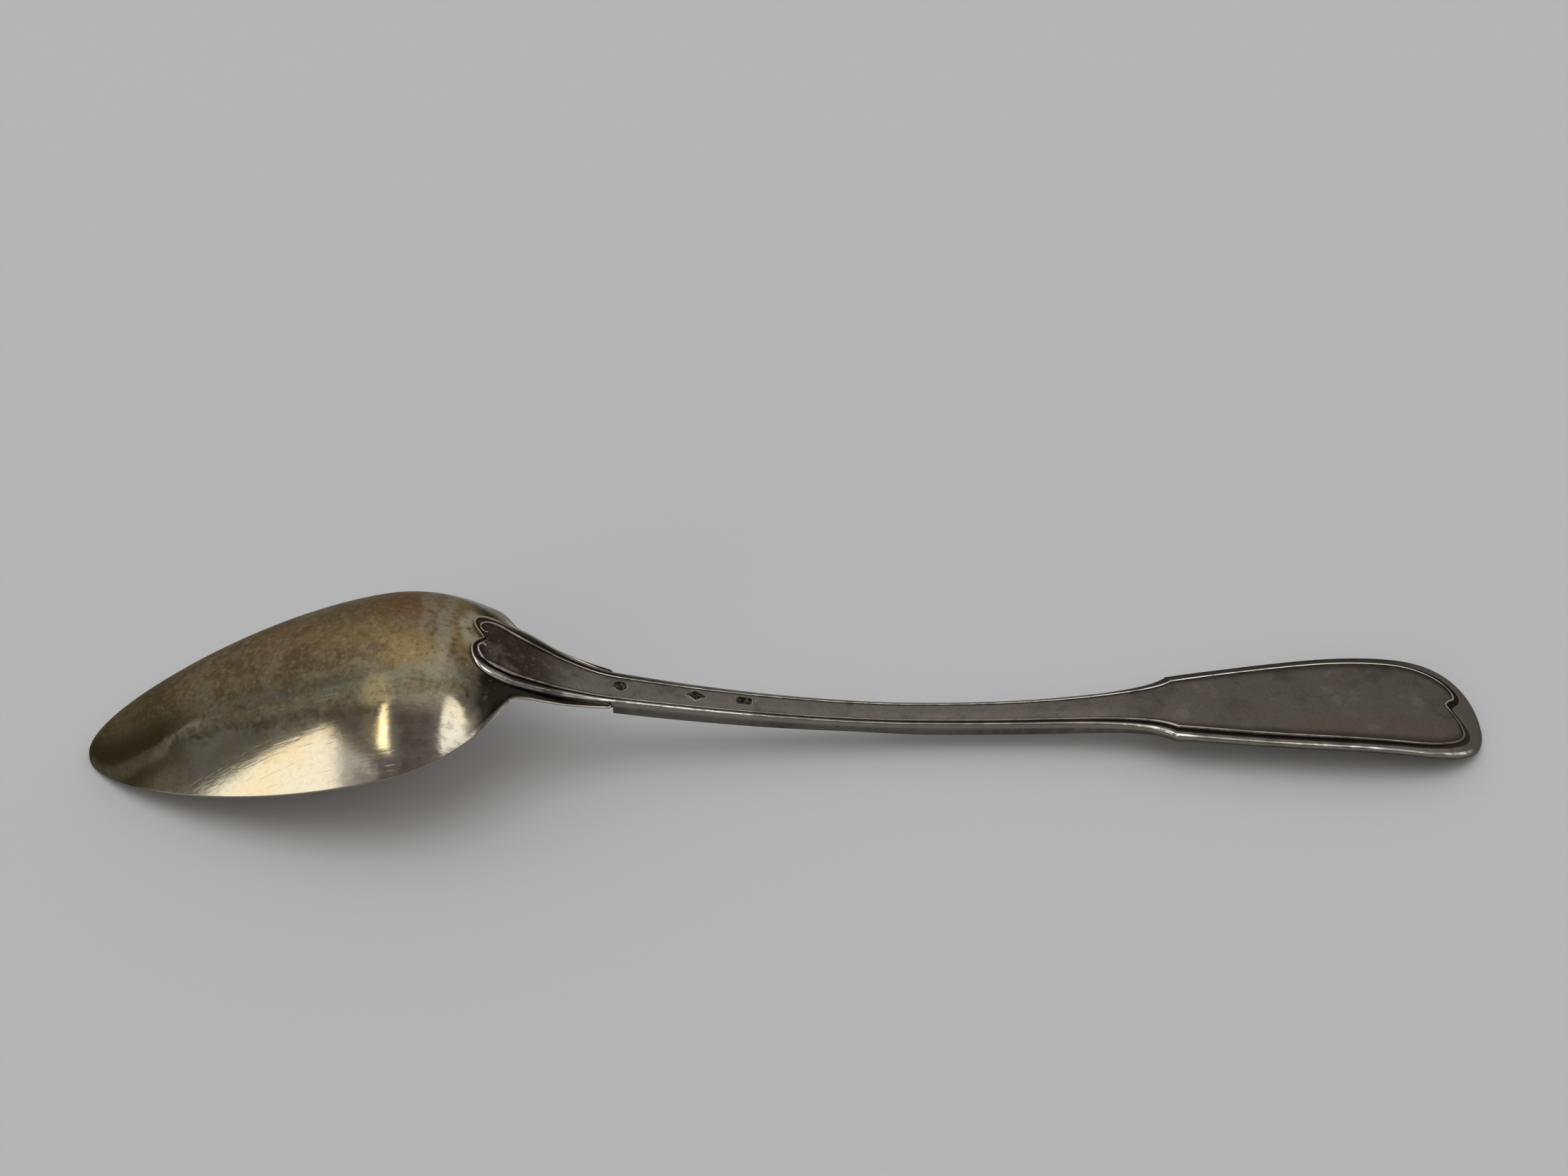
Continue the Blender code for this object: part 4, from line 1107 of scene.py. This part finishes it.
class SPOON_OT_bowl(bpy.types.Operator):
    """Raise the bowl with its flat rim and its neck"""

    bl_idname = "spoon.bowl"
    bl_label = "Bowl"

    def execute(self, context):
        form = SpoonForm(context.scene.spoon_sizes)
        points, layers = bowl_grid(form)
        bowl = loft("bowl_shell", [(points, False), (mirrored(points), True)], layers, True)
        bowl.data.set_sharp_from_angle(angle=BOWL_SHARP)
        bowl.data.materials.append(bowl_silver(context.scene.spoon_finishes))
        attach(bowl, "root")
        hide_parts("bowl")
        return {"FINISHED"}


class SPOON_OT_handle(bpy.types.Operator):
    """Forge the handle: tongue, threaded stem and fiddle, with three blank recesses"""

    bl_idname = "spoon.handle"
    bl_label = "Handle"

    def execute(self, context):
        finishes = context.scene.spoon_finishes
        form = SpoonForm(context.scene.spoon_sizes)
        points, layers = handle_grid(form)
        near = lean_heart(form, mirrored(points), layers["thread"])
        far = lean_heart(form, points, layers["thread"])
        handle = loft("handle_bar", [(far, False), (near, True)], layers, False)
        handle.data.materials.append(handle_silver(finishes))
        cutter = self.cutter(form, recess_silver(finishes))
        sink = handle.modifiers.new("recesses", "BOOLEAN")
        sink.operation = "DIFFERENCE"
        sink.solver = "EXACT"
        sink.material_mode = "TRANSFER"
        sink.object = cutter
        evaluated(handle)
        bpy.data.objects.remove(cutter, do_unlink=True)
        handle.data.set_sharp_from_angle(angle=HANDLE_SHARP)
        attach(handle, "root")
        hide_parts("handle")
        return {"FINISHED"}

    @staticmethod
    def cutter(form, material):
        """Prisms that sink the recesses into the stem's panel, square to its slope."""
        s = form.s
        shape = bmesh.new()

        def panel(x):
            return form.handle_back(x, 0.0, s.panel_drop - s.panel_crown)

        for from_step, length, width, corners in MARKS.values():
            x = form.step + from_step
            turn = Matrix.Rotation(-math.atan(slope_of(panel, x)), 4, "Y")
            place = Matrix.Translation((x, s.mark_shift, float(panel(x)) - s.mark_depth)) @ turn
            bridge(shape, [[shape.verts.new(place @ Vector((a * length / 2, b * width / 2, z))) for a, b in corners]
                           for z in (0.0, 8 * s.mark_depth)])
        cutter = placed("recess_cutter", shape)
        cutter.data.materials.append(material)
        thread = cutter.data.attributes.new("thread", "FLOAT", "POINT")
        thread.data.foreach_set("value", [BACK_SHARES[-1] + 1.0] * len(cutter.data.vertices))
        cutter.hide_render = True
        return cutter


class SPOON_OT_scrolls(bpy.types.Operator):
    """Lay the bead's scrolled ends on the tongue's lobes"""

    bl_idname = "spoon.scrolls"
    bl_label = "Tongue scrolls"

    def execute(self, context):
        s = context.scene.spoon_sizes
        form = SpoonForm(s)
        shape = bmesh.new()
        line = scroll_path(form)
        for side in (1.0, -1.0):
            x, y = line[:, 0], side * line[:, 1]
            z = form.handle_back(x, y, s.panel_drop) + 0.25 * s.scroll_wire
            along, over = form.back_slopes(x, y)
            normals = np.stack([-along, -over, np.ones(len(x))], axis=1)
            part = np.linspace(0.0, 1.0, len(x))
            taper = np.clip(np.minimum(part / 0.05, (1 - part) / 0.02), 0.05, 1)
            radii = s.scroll_wire * (1 - 0.25 * part) * np.sqrt(taper)
            tube(shape, np.stack([x, y, z], axis=1), normals, radii)
        scrolls = smoothed("tongue_scrolls", shape)
        scrolls.data.materials.append(scroll_silver(context.scene.spoon_finishes))
        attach(scrolls, "root")
        return {"FINISHED"}


def bearing(turn, height):
    """The direction at a turn from +Y and a height, in degrees."""
    turn, height = math.radians(turn), math.radians(height)
    return Vector((math.sin(turn) * math.cos(height), math.cos(turn) * math.cos(height), math.sin(height)))


def pane(finish, ahead, corners):
    """1 inside a soft pane of light between corners given as bearings, 0 outside it."""
    points = [bearing(*corner) for corner in corners]
    middle = sum(points, Vector())
    seen = 1.0
    for one, two in zip(points, points[1:] + points[:1]):
        inward = one.cross(two).normalized()
        inward *= math.copysign(1.0, inward.dot(middle))
        into = finish.vector("DOT_PRODUCT", ahead, inward, output="Value")
        seen = finish.between(into, -PANE_SOFT, PANE_SOFT) * seen
    return seen


class SPOON_OT_stage(bpy.types.Operator):
    """Set the floor, the soft lights and the camera"""

    bl_idname = "spoon.stage"
    bl_label = "Stage"

    def execute(self, context):
        stage = context.scene.spoon_stage
        self.lay_floor(stage)
        self.light_room(context, stage)
        self.set_camera(context, stage)
        context.scene.view_settings.view_transform = "Standard"
        return {"FINISHED"}

    @staticmethod
    def lay_floor(stage):
        shape = bmesh.new()
        bmesh.ops.create_grid(shape, x_segments=1, y_segments=1, size=FLOOR_REACH)
        floor = placed("floor", shape)
        material, finish = new_material("pale paper", stage)
        fibres = finish.noise(finish.place(), 900.0, 4.0)
        inputs = material.node_tree.nodes["Principled BSDF"].inputs
        finish.feed(inputs["Base Color"], finish.mix(fibres, finish.tone("floor_colour", 0.985),
                                                     finish.tone("floor_colour", 1.015)))
        inputs["Roughness"].default_value = 0.9
        floor.data.materials.append(material)

    @staticmethod
    def light_room(context, stage):
        world = bpy.data.worlds.new("room")
        context.scene.world = world
        world.use_nodes = True
        finish = Finish(world.node_tree, stage)
        ahead = finish.node("ShaderNodeTexCoord", output="Generated")
        y, z = finish.split(ahead, "YZ")
        level = stage.room_level + (stage.back_level - stage.room_level) * finish.between(y, *BACK_WALL)
        level = level + (stage.ceiling_level - level) * finish.between(z, *CEILING)
        colour = ROOM_COLOUR
        for name, corners in PANES.items():
            seen = pane(finish, ahead, corners)
            level = level + (getattr(stage, name + "_level") - level) * seen
            colour = finish.laid(colour, (seen, name + "_colour"))
        background = world.node_tree.nodes["Background"]
        finish.feed(background.inputs["Strength"], level)
        finish.feed(background.inputs["Color"], colour)

    @staticmethod
    def set_camera(context, stage):
        tilt, turn, roll = stage.camera_turn
        ahead = Vector((math.sin(turn) * math.cos(tilt), math.cos(turn) * math.cos(tilt), -math.sin(tilt)))
        right = Vector((math.cos(turn), -math.sin(turn), 0.0))
        up = right.cross(ahead)
        rolled = math.cos(roll) * right + math.sin(roll) * up
        upright = math.cos(roll) * up - math.sin(roll) * right
        lens = bpy.data.cameras.new("camera")
        lens.sensor_fit = "HORIZONTAL"
        lens.sensor_width = 36.0
        lens.lens = stage.lens
        lens.clip_start = 0.01
        camera = bpy.data.objects.new("camera", lens)
        camera.matrix_world = (Matrix.Translation(stage.camera_place)
                               @ Matrix((rolled, upright, -ahead)).transposed().to_4x4())
        context.scene.collection.objects.link(camera)
        context.scene.camera = camera


class SPOON_PT_panel(bpy.types.Panel):
    """Sizes, finishes and steps of the spoon"""

    bl_idname = "SPOON_PT_panel"
    bl_label = "Serving spoon"
    bl_space_type = "VIEW_3D"
    bl_region_type = "UI"
    bl_category = "Spoon"

    def draw(self, context):
        for operator in OPERATORS:
            self.layout.operator(operator.bl_idname)
        for name in GROUPS:
            group = getattr(context.scene, name)
            box = self.layout.box()
            for key in group.__annotations__:
                box.prop(group, key)


OPERATORS = (SPOON_OT_bowl, SPOON_OT_handle, SPOON_OT_scrolls, SPOON_OT_stage)
GROUPS = {"spoon_sizes": SpoonSizes, "spoon_finishes": SpoonFinishes, "spoon_stage": SpoonStage}


def register():
    for kind in (*GROUPS.values(), *OPERATORS, SPOON_PT_panel):
        bpy.utils.register_class(kind)
    for name, kind in GROUPS.items():
        setattr(bpy.types.Scene, name, PointerProperty(type=kind))


def unregister():
    for name in GROUPS:
        delattr(bpy.types.Scene, name)
    for kind in reversed((*GROUPS.values(), *OPERATORS, SPOON_PT_panel)):
        bpy.utils.unregister_class(kind)


def main():
    register()
    bpy.ops.spoon.bowl()
    bpy.ops.spoon.handle()
    bpy.ops.spoon.scrolls()
    bpy.ops.spoon.stage()


if __name__ == "__main__":
    main()
